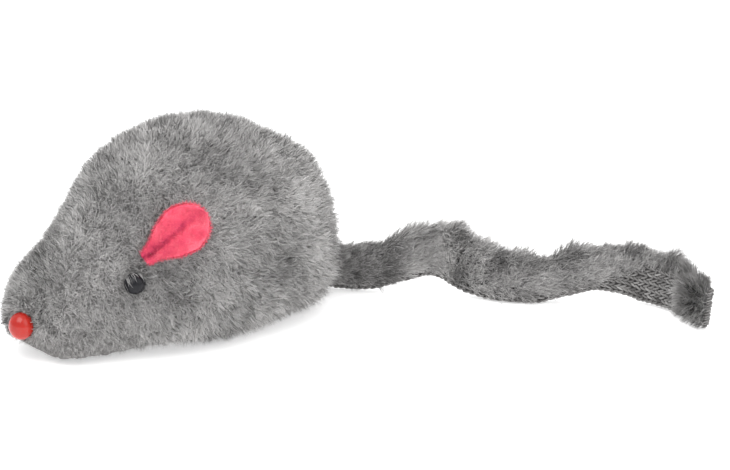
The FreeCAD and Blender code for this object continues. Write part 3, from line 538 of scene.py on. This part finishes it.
fur_pieces = []
y0 = pts[:, 0, 1]
x0 = pts[:, 0, 0]
z0 = pts[:, 0, 2]
zones = {
    "fur_head": y0 < -18 * MM,
    "fur_shoulders": (y0 >= -18 * MM) & (y0 < 6 * MM),
    "fur_haunches": y0 >= 6 * MM,
}
for zone, there in zones.items():
    for side, half in (("left", x0 >= 0), ("right", x0 < 0)):
        for level, part in (("upper", z0 >= 22 * MM), ("lower", z0 < 22 * MM)):
            pick = there & half & part
            name = "%s_%s_%s" % (zone, side, level)
            fur_pieces.append(fibre_mesh(name, pts[pick], nrm[pick], width[pick], tones[pick], rng, pile))
for obj in fur_pieces:
    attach(obj, "mouse")

# The knitted backing with its dense underwool, which the long pile grows out of.
inset = 1.9 * MM * (0.55 + 0.45 * muzzle_share(surface))
inset += 1.4 * MM * brow_share(surface)
fuzz = Waves(41, 2.2 * MM, 24)(surface) * 0.16 * MM + Waves(42, 0.9 * MM, 24)(surface) * 0.10 * MM
wool = surface - normals * (inset - fuzz)[..., None]
wool[..., 2] = np.maximum(wool[..., 2], 0.85 * MM)


def inside_footprint(p, inset):
    # Whether a point lies within the plate's opening in the belly, or the cover drawn in by inset.
    table = np.array(STATIONS).T
    start, end = NOSE + inset, RUMP - inset
    share = (p[..., 1] - start) / (end - start)
    half = hermite(table[0], table[1], np.clip(share, 0, 1)) * (HALF - inset)
    return (share > 0) & (share < 1) & (np.abs(p[..., 0]) < half)


# The hem turns in under the belly as far as the shell, and the backing has an eyelet for the winding arbor.
quads = grid_faces(ROWS, COLS, wrap=True)
flat_wool = wool.reshape(-1, 3)
mid = flat_wool[quads].mean(1)
open_belly = (mid[:, 2] < 1.1 * MM) & inside_footprint(mid, 4.4 * MM)
eyelet = (np.hypot(mid[:, 1] - ARBOR[1], mid[:, 2] - ARBOR[2]) < ARBOR_R + 0.5 * MM) & (mid[:, 0] < 0)
quads = quads[~open_belly & ~eyelet]
wool_obj = new_object("plush_backing", flat_wool, quads)
wool_mat, tree, shader = material("underwool")
noise = object_noise(tree, Scale=900.0, Detail=6.0, Roughness=0.7)
colour = ramp(tree, noise.outputs["Fac"], [(0.3, grey(0.10, 0.03)), (0.7, grey(0.26, 0.03))])
tree.links.new(colour, shader.inputs["Base Color"])
shader.inputs["Roughness"].default_value = 0.95
bump(tree, shader, noise.outputs["Fac"], 0.6, 0.0004)
paint(wool_obj, wool_mat)
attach(wool_obj, "mouse")
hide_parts("plush_cover")


# ---------------------------------------------------------------- ears

felt, tree, shader = material("pink_felt_wool")
split = uv_split(tree)
pink = ramp(tree, split.outputs["X"], [(0.0, (0.38, 0.020, 0.07)), (0.35, (0.66, 0.055, 0.13)),
                                       (0.70, (0.88, 0.105, 0.18)), (1.0, (0.93, 0.22, 0.29))])
tree.links.new(pink, shader.inputs["Base Color"])
shader.inputs["Roughness"].default_value = 0.9
shader.inputs["Specular IOR Level"].default_value = 0.2
shader.inputs["Sheen Weight"].default_value = 0.35
shader.inputs["Sheen Tint"].default_value = (1, 0.55, 0.62, 1)

FELT = 1.1 * MM
ear_ripple = Waves(61, 6 * MM)
ear_tone = Waves(62, 3.2 * MM)


def ear_surface(u, v, front):
    # The ear's front and back faces: cupped across, with a soft crease along the middle.
    w = cup(v)
    crease = np.exp(-(v / (0.8 * MM)) ** 2) * 0.85 * MM * np.clip(1 - u / EAR_LONG, 0, 1) ** 0.6
    q = np.stack([u, v, w], -1)
    ripple = ear_ripple(q) * 0.22 * MM
    across = np.abs(v) / np.maximum(ear_half(u / EAR_LONG) * EAR_HALF, 1e-6)
    thick = FELT * np.sqrt(np.clip(1.04 - across ** 6, 0, 1))
    return w + ripple * 0.6 + np.where(front, thick - crease, 0.15 * MM - crease * 0.6)


def place_ear(u, v, w, side):
    along_ear, across_ear, out_ear = EAR_AXES[side]
    p = (EAR_ROOT + (0, 0, -0.8 * MM) + u[..., None] * along_ear + v[..., None] * across_ear
         + w[..., None] * out_ear)
    return p * (side, 1, 1)


def fold_shade_share(u, v):
    # 1 along the fold beside the ear's middle, where shade is painted into the colour, fading out before the
    # tip.
    return np.exp(-((v - 0.5 * MM) / (0.75 * MM)) ** 2) * np.clip((0.86 - u) / 0.2, 0, 1)


def make_ear(side, name, seed):
    rng = np.random.default_rng(seed)
    n_u, n_v = 64, 41
    uu = np.linspace(0, 0.995, n_u)
    half = np.maximum(ear_curve(uu) * EAR_HALF, 0.25 * MM)
    t = np.linspace(-1, 1, n_v)
    v = half[:, None] * t[None]
    u = np.repeat(uu[:, None] * EAR_LONG, n_v, 1)
    # The outline is a little uneven, as hand-cut felt is.
    v = v * (1 + 0.03 * np.sin(uu * 17 + seed)[:, None])
    front = ear_surface(u, v, True)
    back = ear_surface(u, v, False)
    top = place_ear(u, v, front, side).reshape(-1, 3)
    low = place_ear(u, v, back, side).reshape(-1, 3)
    count = n_u * n_v
    quads = closed_sheet_faces(n_u, n_v)
    if side < 0:
        quads = quads[:, ::-1]
    verts = np.concatenate([top, low])
    obj = new_object(name, verts, quads)
    mesh = obj.data
    q = np.stack([u, v * side, front], -1)
    # Painted shade: the felt is darker along the fold, where shade falls.
    fold_shade = fold_shade_share(uu[:, None], v)
    # Painted highlight: the felt is lighter towards its rim.
    rim = (np.abs(v) / half[:, None]) ** 4
    shade = 0.66 + 0.08 * ear_tone(q) - 0.50 * fold_shade * (0.75 + 0.25 * np.sin(uu * 40)[:, None]) + 0.16 * rim
    # Painted shade: the felt is darker towards the ear's root, where it meets the head.
    shade -= 0.25 * np.clip(1 - uu[:, None] * 3.2, 0, 1)
    shade = np.clip(np.concatenate([shade.ravel(), shade.ravel() * 0.8]), 0.02, 0.98)
    layer = mesh.uv_layers.new(name="OFBake")
    place = np.concatenate([np.linspace(0.02, 0.48, count), np.linspace(0.52, 0.98, count)])
    corner = np.stack([shade, place], -1)[quads.ravel()]
    layer.data.foreach_set("uv", corner.astype(np.float32).ravel())
    paint(obj, felt)

    # Short wool fibres all over the felt.
    hairs = 12000
    hu = rng.uniform(0.02, 0.99, hairs)
    hv = rng.uniform(-1, 1, hairs) * ear_curve(hu) * EAR_HALF
    is_front = rng.uniform(size=hairs) < 0.55
    edge = rng.uniform(size=hairs) < 0.16
    hv = np.where(edge, np.sign(hv) * ear_curve(hu) * EAR_HALF * 0.985, hv)
    hw = np.where(is_front, ear_surface(hu * EAR_LONG, hv, True), ear_surface(hu * EAR_LONG, hv, False))
    root = place_ear(hu * EAR_LONG, hv, hw, side)
    tilt = hv / EAR_BEND
    n_local = np.stack([np.zeros(hairs), -tilt, np.sqrt(np.clip(1 - tilt ** 2, 0, 1))], -1)
    n_local = np.where(is_front[:, None], n_local, -n_local)
    n_local = np.where(edge[:, None], np.stack([np.zeros(hairs), np.sign(hv), np.zeros(hairs)], -1), n_local)
    normal = n_local @ np.array(EAR_AXES[side]) * (side, 1, 1)
    way = unit(rng.normal(size=(hairs, 3)))
    way = unit(way - normal * (way * normal).sum(-1, keepdims=True))
    length = rng.uniform(0.45, 1.1, hairs) * MM
    lean = rng.uniform(0.9, 1.45, hairs)
    pts = strands(root - normal * 0.05 * MM, unit(normal), way, length, lean * 0.8, lean,
                  rng.uniform(0, 0.6, hairs), rng)
    at = np.stack([hu * EAR_LONG, hv * side, hw], -1)
    tone = 0.72 + 0.08 * ear_tone(at) + rng.normal(size=hairs) * 0.10
    # Painted shade: the fuzz along the fold is darker too.
    tone -= 0.45 * fold_shade_share(hu, hv)
    fuzz_obj = fibre_mesh(name + "_fuzz", pts, unit(normal), np.full(hairs, 0.07 * MM), tone, rng, felt)
    return obj, fuzz_obj


ear_area = float(np.mean(ear_curve(np.linspace(0, 1, 200))))
ear_area *= 2 * EAR_HALF * EAR_LONG
for side, name, cad in ((1, "felt_ear_left", "left_ear"), (-1, "felt_ear_right", "right_ear")):
    ear, ear_fuzz = make_ear(side, name, 71 + side)
    for obj in (ear, ear_fuzz):
        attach(obj, "mouse")
    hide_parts(cad)


# ---------------------------------------------------------------- tail

# Points along the strip: place across, place behind the hinge, middle height, half height, in millimetres.
TAIL = [
    (0, -3.6, 5.3, 4.0), (0, 0, 5.3, 4.2), (2.6, 3.6, 5.4, 4.8), (6.6, 7.6, 6.0, 5.0), (9.6, 12.4, 7.6, 5.0),
    (11.8, 18.0, 9.3, 5.0), (15.6, 21.6, 9.2, 5.0), (21.4, 23.6, 7.5, 5.0), (26.6, 27.2, 6.0, 5.0),
    (31.4, 31.4, 5.5, 5.0), (35.0, 37.6, 6.6, 5.0), (38.2, 44.0, 7.6, 5.0), (43.6, 50.4, 7.4, 5.0),
    (51.2, 53.8, 6.4, 5.2), (59.4, 54.2, 5.8, 5.4), (66.6, 53.4, 5.8, 5.0),
]
HINGE_Y = 33.6 * MM
STRIP_EDGE = 1.15 * MM      # how far the strip's ground stops short of the height in the table
SAMPLES = 400
FLAP = 0.885                # where the turned end begins, as a share of the run
# How far the strip's lower edge sags, in millimetres, at places along the run.
SAG = [(0, 0.3), (0.20, 0.3), (0.33, 1.9), (0.46, 1.3), (0.56, 0.4), (0.66, 0.2), (0.77, 1.6), (0.88, 0.4),
       (1.0, 0.3)]
# The share of the strip's height, from its lower edge, where the knitted side shows.
BARE = [(0, 0.15), (0.60, 0.17), (0.70, 0.36), (0.78, 0.74), (0.86, 0.80), (FLAP, 0.66), (0.90, 0.14),
        (1.0, 0.10)]


def catmull(points, samples):
    points = np.asarray(points, float)
    p = np.vstack([2 * points[0] - points[1], points, 2 * points[-1] - points[-2]])
    out = []
    for i in range(1, len(p) - 2):
        t = np.linspace(0, 1, 40, endpoint=False)[:, None]
        a, b, c, d = p[i - 1], p[i], p[i + 1], p[i + 2]
        out.append(0.5 * (2 * b + (c - a) * t + (2 * a - 5 * b + 4 * c - d) * t ** 2
                          + (3 * b - a - 3 * c + d) * t ** 3))
    line = np.vstack(out + [p[-2:-1]])
    run = np.concatenate([[0], np.cumsum(np.linalg.norm(np.diff(line[:, :3], axis=0), axis=1))])
    even = np.linspace(0, run[-1], samples)
    return np.stack([np.interp(even, run, line[:, k]) for k in range(line.shape[1])], -1), run[-1]


tail_line, tail_run = catmull(TAIL, SAMPLES)
tail_line = tail_line * MM
tail_line[:, 1] += HINGE_Y
tail_run *= MM
tail_at = np.linspace(0, 1, SAMPLES)
ahead = unit(np.gradient(tail_line[:, :2], axis=0))
near = np.stack([ahead[:, 1], -ahead[:, 0]], -1)


def tail_place(s, h, d):
    # s runs along the strip, h from its bottom edge (-1) to its top (1), d is how far out of the near face.
    at = [np.interp(s, tail_at, tail_line[:, k]) for k in range(4)]
    nx = np.interp(s, tail_at, near[:, 0])
    ny = np.interp(s, tail_at, near[:, 1])
    size = np.hypot(nx, ny)
    nx, ny = nx / size, ny / size
    half = at[3] - STRIP_EDGE
    sag = np.interp(s, *np.array(SAG).T)
    z = np.maximum(at[2] - 0.9 * MM + half * h - sag * MM * (1 - h) / 2, 0.45 * MM)
    # The strip leans back a little at its top and twists near its end.
    twist = 0.42 * MM * h + 1.1 * MM * np.sin(s * 9.0) * h * 0.3
    out = d + 1.1 * MM - twist + 0.5 * sag * MM * (1 - h) / 2
    return np.stack([at[0] + nx * out, at[1] + ny * out, z], -1), np.stack([nx, ny, np.zeros_like(nx)], -1)


def bare_share(s):
    return np.interp(s, *np.array(BARE).T)


knit_mat, tree, shader = material("knit_yarn")
split = uv_split(tree)
tone = ramp(tree, split.outputs["X"], [(0.0, grey(0.06, 0.05)), (0.5, grey(0.19, 0.03)),
                                       (1.0, grey(0.36, 0.02))])
tree.links.new(tone, shader.inputs["Base Color"])
shader.inputs["Roughness"].default_value = 0.88
shader.inputs["Specular IOR Level"].default_value = 0.2
shader.inputs["Sheen Weight"].default_value = 0.2

# The strip's woven ground, under its stitches.
n_s, n_h = 360, 15
s_grid, h_grid = np.meshgrid(np.linspace(0, 1, n_s), np.linspace(-1, 1, n_h), indexing="ij")
front, _ = tail_place(s_grid, h_grid, np.full_like(s_grid, 0.25 * MM))
behind, _ = tail_place(s_grid, h_grid, np.full_like(s_grid, -0.25 * MM))
quads = closed_sheet_faces(n_s, n_h)[:, ::-1]
strip = new_object("tail_backing", np.concatenate([front.reshape(-1, 3), behind.reshape(-1, 3)]), quads)
strip_mat, tree, shader = material("knit_ground")
noise = object_noise(tree, Scale=1400.0, Detail=5.0, Roughness=0.7)
colour = ramp(tree, noise.outputs["Fac"], [(0.3, grey(0.045, 0.05)), (0.7, grey(0.14, 0.04))])
tree.links.new(colour, shader.inputs["Base Color"])
shader.inputs["Roughness"].default_value = 0.95
bump(tree, shader, noise.outputs["Fac"], 0.5, 0.0003)
paint(strip, strip_mat)


def tubes(name, lines, radius, tone, mat, sides=6):
    # lines: count x points x 3; each becomes a closed, tapered tube of yarn.
    count, points = lines.shape[:2]
    step = unit(np.gradient(lines, axis=1))
    up = np.broadcast_to(np.array([0.13, 0.21, 0.97]), step.shape)
    side = unit(np.cross(step, up))
    up = np.cross(side, step)
    a = 2 * math.pi * np.arange(sides) / sides
    taper = np.interp(np.linspace(0, 1, points), [0, 0.12, 0.5, 0.88, 1], [0.45, 0.9, 1.0, 0.9, 0.45])
    r = radius[:, None, None] * taper[None, :, None]
    ring = side[:, :, None] * (np.cos(a)[None, None, :, None] * r[..., None]) \
        + up[:, :, None] * (np.sin(a)[None, None, :, None] * r[..., None])
    verts = (lines[:, :, None] + ring).reshape(-1, 3)
    one = grid_faces(points, sides, wrap=True)
    faces = (one[None] + (np.arange(count) * points * sides)[:, None, None]).reshape(-1, 4)
    obj = new_object(name, verts, faces)
    layer = obj.data.uv_layers.new(name="OFBake")
    u = np.repeat(np.clip(tone, 0.02, 0.97), points * sides)
    wave = np.tile(np.cos(a) * 0.012, count * points)
    v = np.tile(np.repeat(np.linspace(0.02, 0.98, points), sides), count)
    corner = np.stack([u + wave, v], -1)[faces.ravel()]
    layer.data.foreach_set("uv", corner.astype(np.float32).ravel())
    return paint(obj, mat)


def knit(name, face, seed):
    rng = np.random.default_rng(seed)
    rows, pitch = 6, 1.35 * MM
    along_count = int(tail_run / pitch)
    lines, tones = [], []
    t = np.linspace(0, 1, 8)
    for row in range(rows):
        middle = -1 + (row + 0.5) * 2 / rows
        for i in range(along_count):
            s0 = (i + 0.5 * (row % 2) + rng.normal() * 0.05) / along_count
            if face > 0 and not (0.62 < s0 < 0.93 or row == 0):
                continue
            for leg in (-1, 1):
                h = middle + leg * (0.92 - 0.80 * t ** 1.3) / rows + rng.normal() * 0.008
                s = s0 + (t * 1.28) / along_count
                lift = (0.22 + 0.42 * np.sin(math.pi * t) ** 0.8) * MM
                p, _ = tail_place(np.clip(s, 0, 1), np.clip(h, -1.04, 1.04), face * (0.22 * MM + lift))
                lines.append(p)
                tones.append(0.50 + rng.normal() * 0.15)
    lines = np.array(lines)
    radius = rng.uniform(0.20, 0.27, len(lines)) * MM
    return tubes(name, lines, radius, np.array(tones), knit_mat)


knit_near = knit("tail_knit_near", 1, 81)
knit_far = knit("tail_knit_far", -1, 82)


def knit_edge(seed):
    # Cut loops along the strip's lower edge and its end.
    rng = np.random.default_rng(seed)
    count = int(tail_run / (0.62 * MM))
    t = np.linspace(0, 1, 8)
    lines, tones = [], []
    for i in range(count):
        s0 = i / count
        angle = math.pi * (t * 1.5 - 0.25)
        reach = rng.uniform(0.40, 0.62) * MM
        s = s0 + (t - 0.5) * 0.75 / count
        p, _ = tail_place(np.clip(s, 0, 1), np.full_like(t, -1.0), np.cos(angle) * reach)
        p[:, 2] += -np.sin(angle) * reach * 0.8 + 0.35 * MM
        lines.append(p)
        tones.append(0.42 + rng.normal() * 0.18)
    for i in range(15):
        h = -1 + 2 * i / 14
        angle = math.pi * (t * 1.5 - 0.25)
        reach = rng.uniform(0.40, 0.60) * MM
        p, _ = tail_place(np.full_like(t, 0.997), h + (t - 0.5) * 0.12, np.cos(angle) * reach)
        end = np.array([ahead[-1, 0], ahead[-1, 1], 0])
        p += end * (np.sin(angle) * reach)[:, None]
        lines.append(p)
        tones.append(0.5 + rng.normal() * 0.15)
    lines = np.array(lines)
    return tubes("tail_edge", lines, rng.uniform(0.13, 0.2, len(lines)) * MM, np.array(tones), knit_mat)


edge_loops = knit_edge(83)


def tail_pile(seed):
    rng = np.random.default_rng(seed)
    tufts, per = 5200, 9
    s = rng.uniform(0.01, 0.995, tufts)
    h = rng.uniform(-0.95, 1, tufts)
    crown = rng.uniform(size=tufts) < 0.20
    h = np.where(crown, rng.uniform(0.86, 1.0, tufts), h)
    share = (h + 1) / 2
    keep = share > bare_share(s) + rng.normal(size=tufts) * 0.03
    s, h = s[keep], h[keep]
    flap = s > FLAP
    count = len(s)
    root, n = tail_place(s, h, np.full(count, 0.2 * MM))
    run = np.stack([np.interp(s, tail_at, ahead[:, 0]), np.interp(s, tail_at, ahead[:, 1]),
                    np.zeros(count)], -1)
    up = np.array([0, 0, 1.0])
    tilt = np.clip((h - 0.3) / 0.7, 0, 1) ** 1.5
    normal = unit(n * (1 - 0.80 * tilt[:, None]) + up * (0.15 + 0.85 * tilt[:, None]))
    rise = np.where(bare_share(s) > 0.3, 0.95, 0.45 - 0.3 * (h < -0.3))
    way = unit(run * 0.8 + up * rise[:, None] + rng.normal(size=(count, 3)) * 0.35)
    # On the turned end the pile stands out from the flap's middle.
    out = unit(run * ((s - 0.945) / 0.05)[:, None] + up * h[:, None] + rng.normal(size=(count, 3)) * 0.25)
    way = np.where(flap[:, None], out, way)
    way = unit(way - normal * (way * normal).sum(-1, keepdims=True))
    tufted = np.exp(-((s - 0.36) / 0.11) ** 2)
    wild = 0.9 + 0.5 * np.clip(Waves(85, 8 * MM)(root), -0.4, 1) * tilt + 0.55 * tilt * tufted
    length = (3.1 + 0.9 * tilt + rng.normal(size=count) * 0.35) * wild * MM
    length = np.where(flap, length * 0.92, length)
    tone = 0.38 + 0.12 * Waves(86, 9 * MM)(root) + rng.normal(size=count) * 0.08
    centre_dark = np.exp(-((s - 0.945) / 0.028) ** 2 - (h / 0.55) ** 2)
    tone = np.where(flap, tone - 0.30 * centre_dark, tone)
    shadow = np.exp(-((s - 0.16) / 0.035) ** 2) * 0.22
    tone += 0.16 * np.exp(-((s - 0.33) / 0.07) ** 2) - 0.05 * (s > 0.5)
    tone -= shadow
    idx = np.repeat(np.arange(count), per)
    m = len(idx)
    side = np.cross(normal, way)[idx]
    spread = rng.normal(size=(m, 2)) * 0.42 * MM
    offset = way[idx] * spread[:, :1] + side * spread[:, 1:]
    lean = np.where(flap, 0.75, 1.02)[idx] + rng.normal(size=m) * 0.14
    pts = strands(root[idx] + offset, normal[idx], unit(way[idx] + rng.normal(size=(m, 3)) * 0.15),
                  length[idx] * rng.uniform(0.75, 1.15, m), lean * 0.5, lean * 1.1,
                  np.abs(rng.normal(size=m)) * 0.4, rng)
    pts = pts - offset[:, None] * np.array([0, 0.12, 0.36, 0.60])[None, :, None]
    pts[..., 2] = np.maximum(pts[..., 2], 0.12 * MM)
    width = rng.uniform(0.08, 0.13, m) * MM
    tone = tone[idx] + rng.normal(size=m) * 0.13
    made = []
    for name, pick in (("tail_fur_fore", s[idx] < 0.5), ("tail_fur_aft", s[idx] >= 0.5)):
        made.append(fibre_mesh(name, pts[pick], normal[idx][pick], width[pick], tone[pick], rng, pile))
    return made


tail_pieces = [knit_near, knit_far, edge_loops] + tail_pile(84)

for obj in [strip] + tail_pieces:
    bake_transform(obj)
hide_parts("tail")


# ---------------------------------------------------------------- hard parts

def hard(name, low, high, metallic, rough_low, rough_high, scale, grain=(1, 1, 1), depth=0.00002, edge=None):
    # Colour, roughness and bump all vary with fine noise; edges catch wear.
    mat, tree, shader = material(name)
    coords = node(tree, "ShaderNodeTexCoord")
    mapping = node(tree, "ShaderNodeMapping")
    mapping.inputs["Scale"].default_value = grain
    tree.links.new(coords.outputs["Object"], mapping.inputs["Vector"])
    broad = node(tree, "ShaderNodeTexNoise", Scale=scale * 0.16, Detail=4.0, Roughness=0.6)
    fine = node(tree, "ShaderNodeTexNoise", Scale=scale, Detail=6.0, Roughness=0.65)
    tree.links.new(mapping.outputs["Vector"], broad.inputs["Vector"])
    tree.links.new(mapping.outputs["Vector"], fine.inputs["Vector"])
    colour = ramp(tree, broad.outputs["Fac"], [(0.32, low), (0.68, high)])
    if edge is not None:
        geometry = node(tree, "ShaderNodeNewGeometry")
        worn = ramp(tree, geometry.outputs["Pointiness"], [(0.52, (0, 0, 0)), (0.60, (1, 1, 1))])
        mix = node(tree, "ShaderNodeMix", data_type="RGBA")
        tree.links.new(worn, mix.inputs["Factor"])
        tree.links.new(colour, mix.inputs["A"])
        mix.inputs["B"].default_value = (*edge, 1)
        colour = mix.outputs["Result"]
    tree.links.new(colour, shader.inputs["Base Color"])
    rough = ramp(tree, fine.outputs["Fac"], [(0.3, grey(rough_low)), (0.7, grey(rough_high))])
    tree.links.new(rough, shader.inputs["Roughness"])
    shader.inputs["Metallic"].default_value = metallic
    bump(tree, shader, fine.outputs["Fac"], 0.35, depth)
    return mat


black_bead = hard("black_bead_glass", (0.004, 0.004, 0.006), (0.012, 0.012, 0.015), 0.0, 0.12, 0.34, 900.0,
                  depth=0.00012)
red_bead = hard("red_bead_plastic", (0.34, 0.010, 0.006), (0.50, 0.020, 0.010), 0.0, 0.08, 0.18, 700.0,
                depth=0.00003)
black_bead.node_tree.nodes["Principled BSDF"].inputs["Specular IOR Level"].default_value = 0.22
gloss = red_bead.node_tree.nodes["Principled BSDF"]
gloss.inputs["Specular IOR Level"].default_value = 0.4
gloss.inputs["Coat Weight"].default_value = 0.15
gloss.inputs["Coat Roughness"].default_value = 0.06
shell_mat = hard("moulded_shell", grey(0.40, 0.02), grey(0.48, 0.02), 0.0, 0.42, 0.60, 1400.0, depth=0.00001,
                 edge=grey(0.62))
base_mat = hard("moulded_base", grey(0.055), grey(0.085), 0.0, 0.38, 0.62, 1500.0, edge=grey(0.16))
zinc = hard("zinc_plate", (0.56, 0.57, 0.55), (0.72, 0.72, 0.68), 1.0, 0.24, 0.42, 900.0,
            edge=(0.80, 0.80, 0.78))
frame_mat = hard("rolled_steel", (0.44, 0.45, 0.46), (0.60, 0.61, 0.62), 1.0, 0.22, 0.40, 700.0,
                 grain=(1, 9, 1), edge=(0.74, 0.75, 0.76))
spring_mat = hard("blued_spring", (0.10, 0.13, 0.22), (0.20, 0.22, 0.30), 1.0, 0.20, 0.36, 800.0,
                  grain=(6, 1, 1), edge=(0.42, 0.44, 0.50))
brass = hard("cut_brass", (0.60, 0.42, 0.15), (0.80, 0.60, 0.25), 1.0, 0.20, 0.38, 800.0,
             edge=(0.90, 0.74, 0.40))
nylon = hard("gear_nylon_white", (0.70, 0.69, 0.64), (0.80, 0.79, 0.74), 0.0, 0.38, 0.54, 1100.0,
             edge=(0.88, 0.87, 0.84))
axle_mat = hard("ground_axle", (0.52, 0.53, 0.54), (0.68, 0.69, 0.70), 1.0, 0.14, 0.28, 900.0,
                grain=(1, 12, 12))
key_mat = hard("nickel_key", (0.27, 0.26, 0.24), (0.42, 0.41, 0.38), 1.0, 0.24, 0.42, 650.0, depth=0.00004,
               edge=(0.55, 0.54, 0.51))
wheel_mat = hard("wheel_plastic_grey", grey(0.10), grey(0.14), 0.0, 0.34, 0.52, 1000.0, edge=grey(0.28))
front_mat = hard("front_plastic_grey", grey(0.12), grey(0.17), 0.0, 0.36, 0.56, 1000.0, edge=grey(0.30))
rubber = hard("tyre_rubber_black", grey(0.018), grey(0.032), 0.0, 0.62, 0.86, 1600.0, depth=0.00006,
              edge=grey(0.07))
thread = hard("grey_thread_ply", grey(0.20, 0.03), grey(0.34, 0.03), 0.0, 0.72, 0.92, 2200.0, grain=(1, 1, 4),
              depth=0.00015)

FINISHES = {
    "left_eye": black_bead, "right_eye": black_bead, "nose_bead": red_bead,
    "body_shell": shell_mat, "base_plate": base_mat, "base_screws": zinc, "motor_screws": zinc,
    "motor_frame_left": frame_mat, "motor_frame_right": frame_mat, "frame_pillars": zinc,
    "mainspring": spring_mat, "click_spring": spring_mat, "click_pawl": axle_mat, "click_rivet": brass,
    "great_wheel": brass, "ratchet_wheel": axle_mat, "winding_arbor": axle_mat, "winding_key": key_mat,
    "second_arbor": axle_mat, "second_gear": nylon, "drive_axle": axle_mat, "drive_pinion": brass,
    "left_wheel": wheel_mat, "right_wheel": wheel_mat, "left_tyre": rubber, "right_tyre": rubber,
    "front_axle": axle_mat, "front_wheel": front_mat, "tail_stitch": thread,
}
for name, mat in FINISHES.items():
    paint(nodes[name], mat)


# ---------------------------------------------------------------- floor, light and camera

floor = new_object("studio_floor", [(-1.5, -1.5, 0), (1.5, -1.5, 0), (1.5, 1.5, 0), (-1.5, 1.5, 0)],
                   np.array([[0, 1, 2, 3]]))
floor_mat, tree, shader = material("glowing_studio_white")
noise = object_noise(tree, Scale=60.0, Detail=3.0)
colour = ramp(tree, noise.outputs["Fac"], [(0.0, grey(0.88)), (1.0, grey(0.90))])
tree.links.new(colour, shader.inputs["Base Color"])
shader.inputs["Roughness"].default_value = 0.9
# Painted light: the floor glows a little, which fades the mouse's shadow on it and lights the belly from
# below.
shader.inputs["Emission Color"].default_value = (1, 1, 1, 1)
shader.inputs["Emission Strength"].default_value = 0.45
paint(floor, floor_mat)

world = bpy.data.worlds.new("studio")
world.use_nodes = True
world.node_tree.nodes["Background"].inputs["Color"].default_value = (1, 1, 1, 1)
world.node_tree.nodes["Background"].inputs["Strength"].default_value = 0.9
bpy.context.scene.world = world
bpy.context.scene.view_settings.view_transform = "Standard"
bpy.context.scene.view_settings.look = "None"

AIM = Vector((0.0011, 0.0430, 0.0100))      # the lights and the camera point at this place


def direction(azimuth, elevation):
    # Azimuth runs from the mouse's front towards its left.
    a, e = math.radians(azimuth), math.radians(elevation)
    return Vector((math.sin(a) * math.cos(e), -math.cos(a) * math.cos(e), math.sin(e)))


def softbox(name, azimuth, elevation, distance, size, power):
    way = direction(azimuth, elevation)
    data = bpy.data.lights.new(name, "AREA")
    data.shape = "SQUARE"
    data.size = size
    data.energy = power
    obj = bpy.data.objects.new(name, data)
    bpy.context.scene.collection.objects.link(obj)
    obj.location = AIM + way * distance
    obj.rotation_euler = (-way).to_track_quat("-Z", "Y").to_euler()


softbox("key_light", 20, 58, 0.8, 0.6, 3.4)
softbox("fill_light", 110, 35, 0.9, 0.8, 2.2)
softbox("back_light", 220, 60, 0.9, 0.7, 2.6)

SENSOR = 36                 # millimetres
FRAME_WIDTH = 0.1553
DISTANCE = 4.0
way = direction(55.3, 21.2)
data = bpy.data.cameras.new("camera")
data.sensor_width = SENSOR
data.lens = SENSOR * DISTANCE / FRAME_WIDTH
data.clip_start = 0.01
camera = bpy.data.objects.new("camera", data)
bpy.context.scene.collection.objects.link(camera)
camera.location = AIM + way * DISTANCE
camera.rotation_euler = (-way).to_track_quat("-Z", "Y").to_euler()
bpy.context.scene.camera = camera
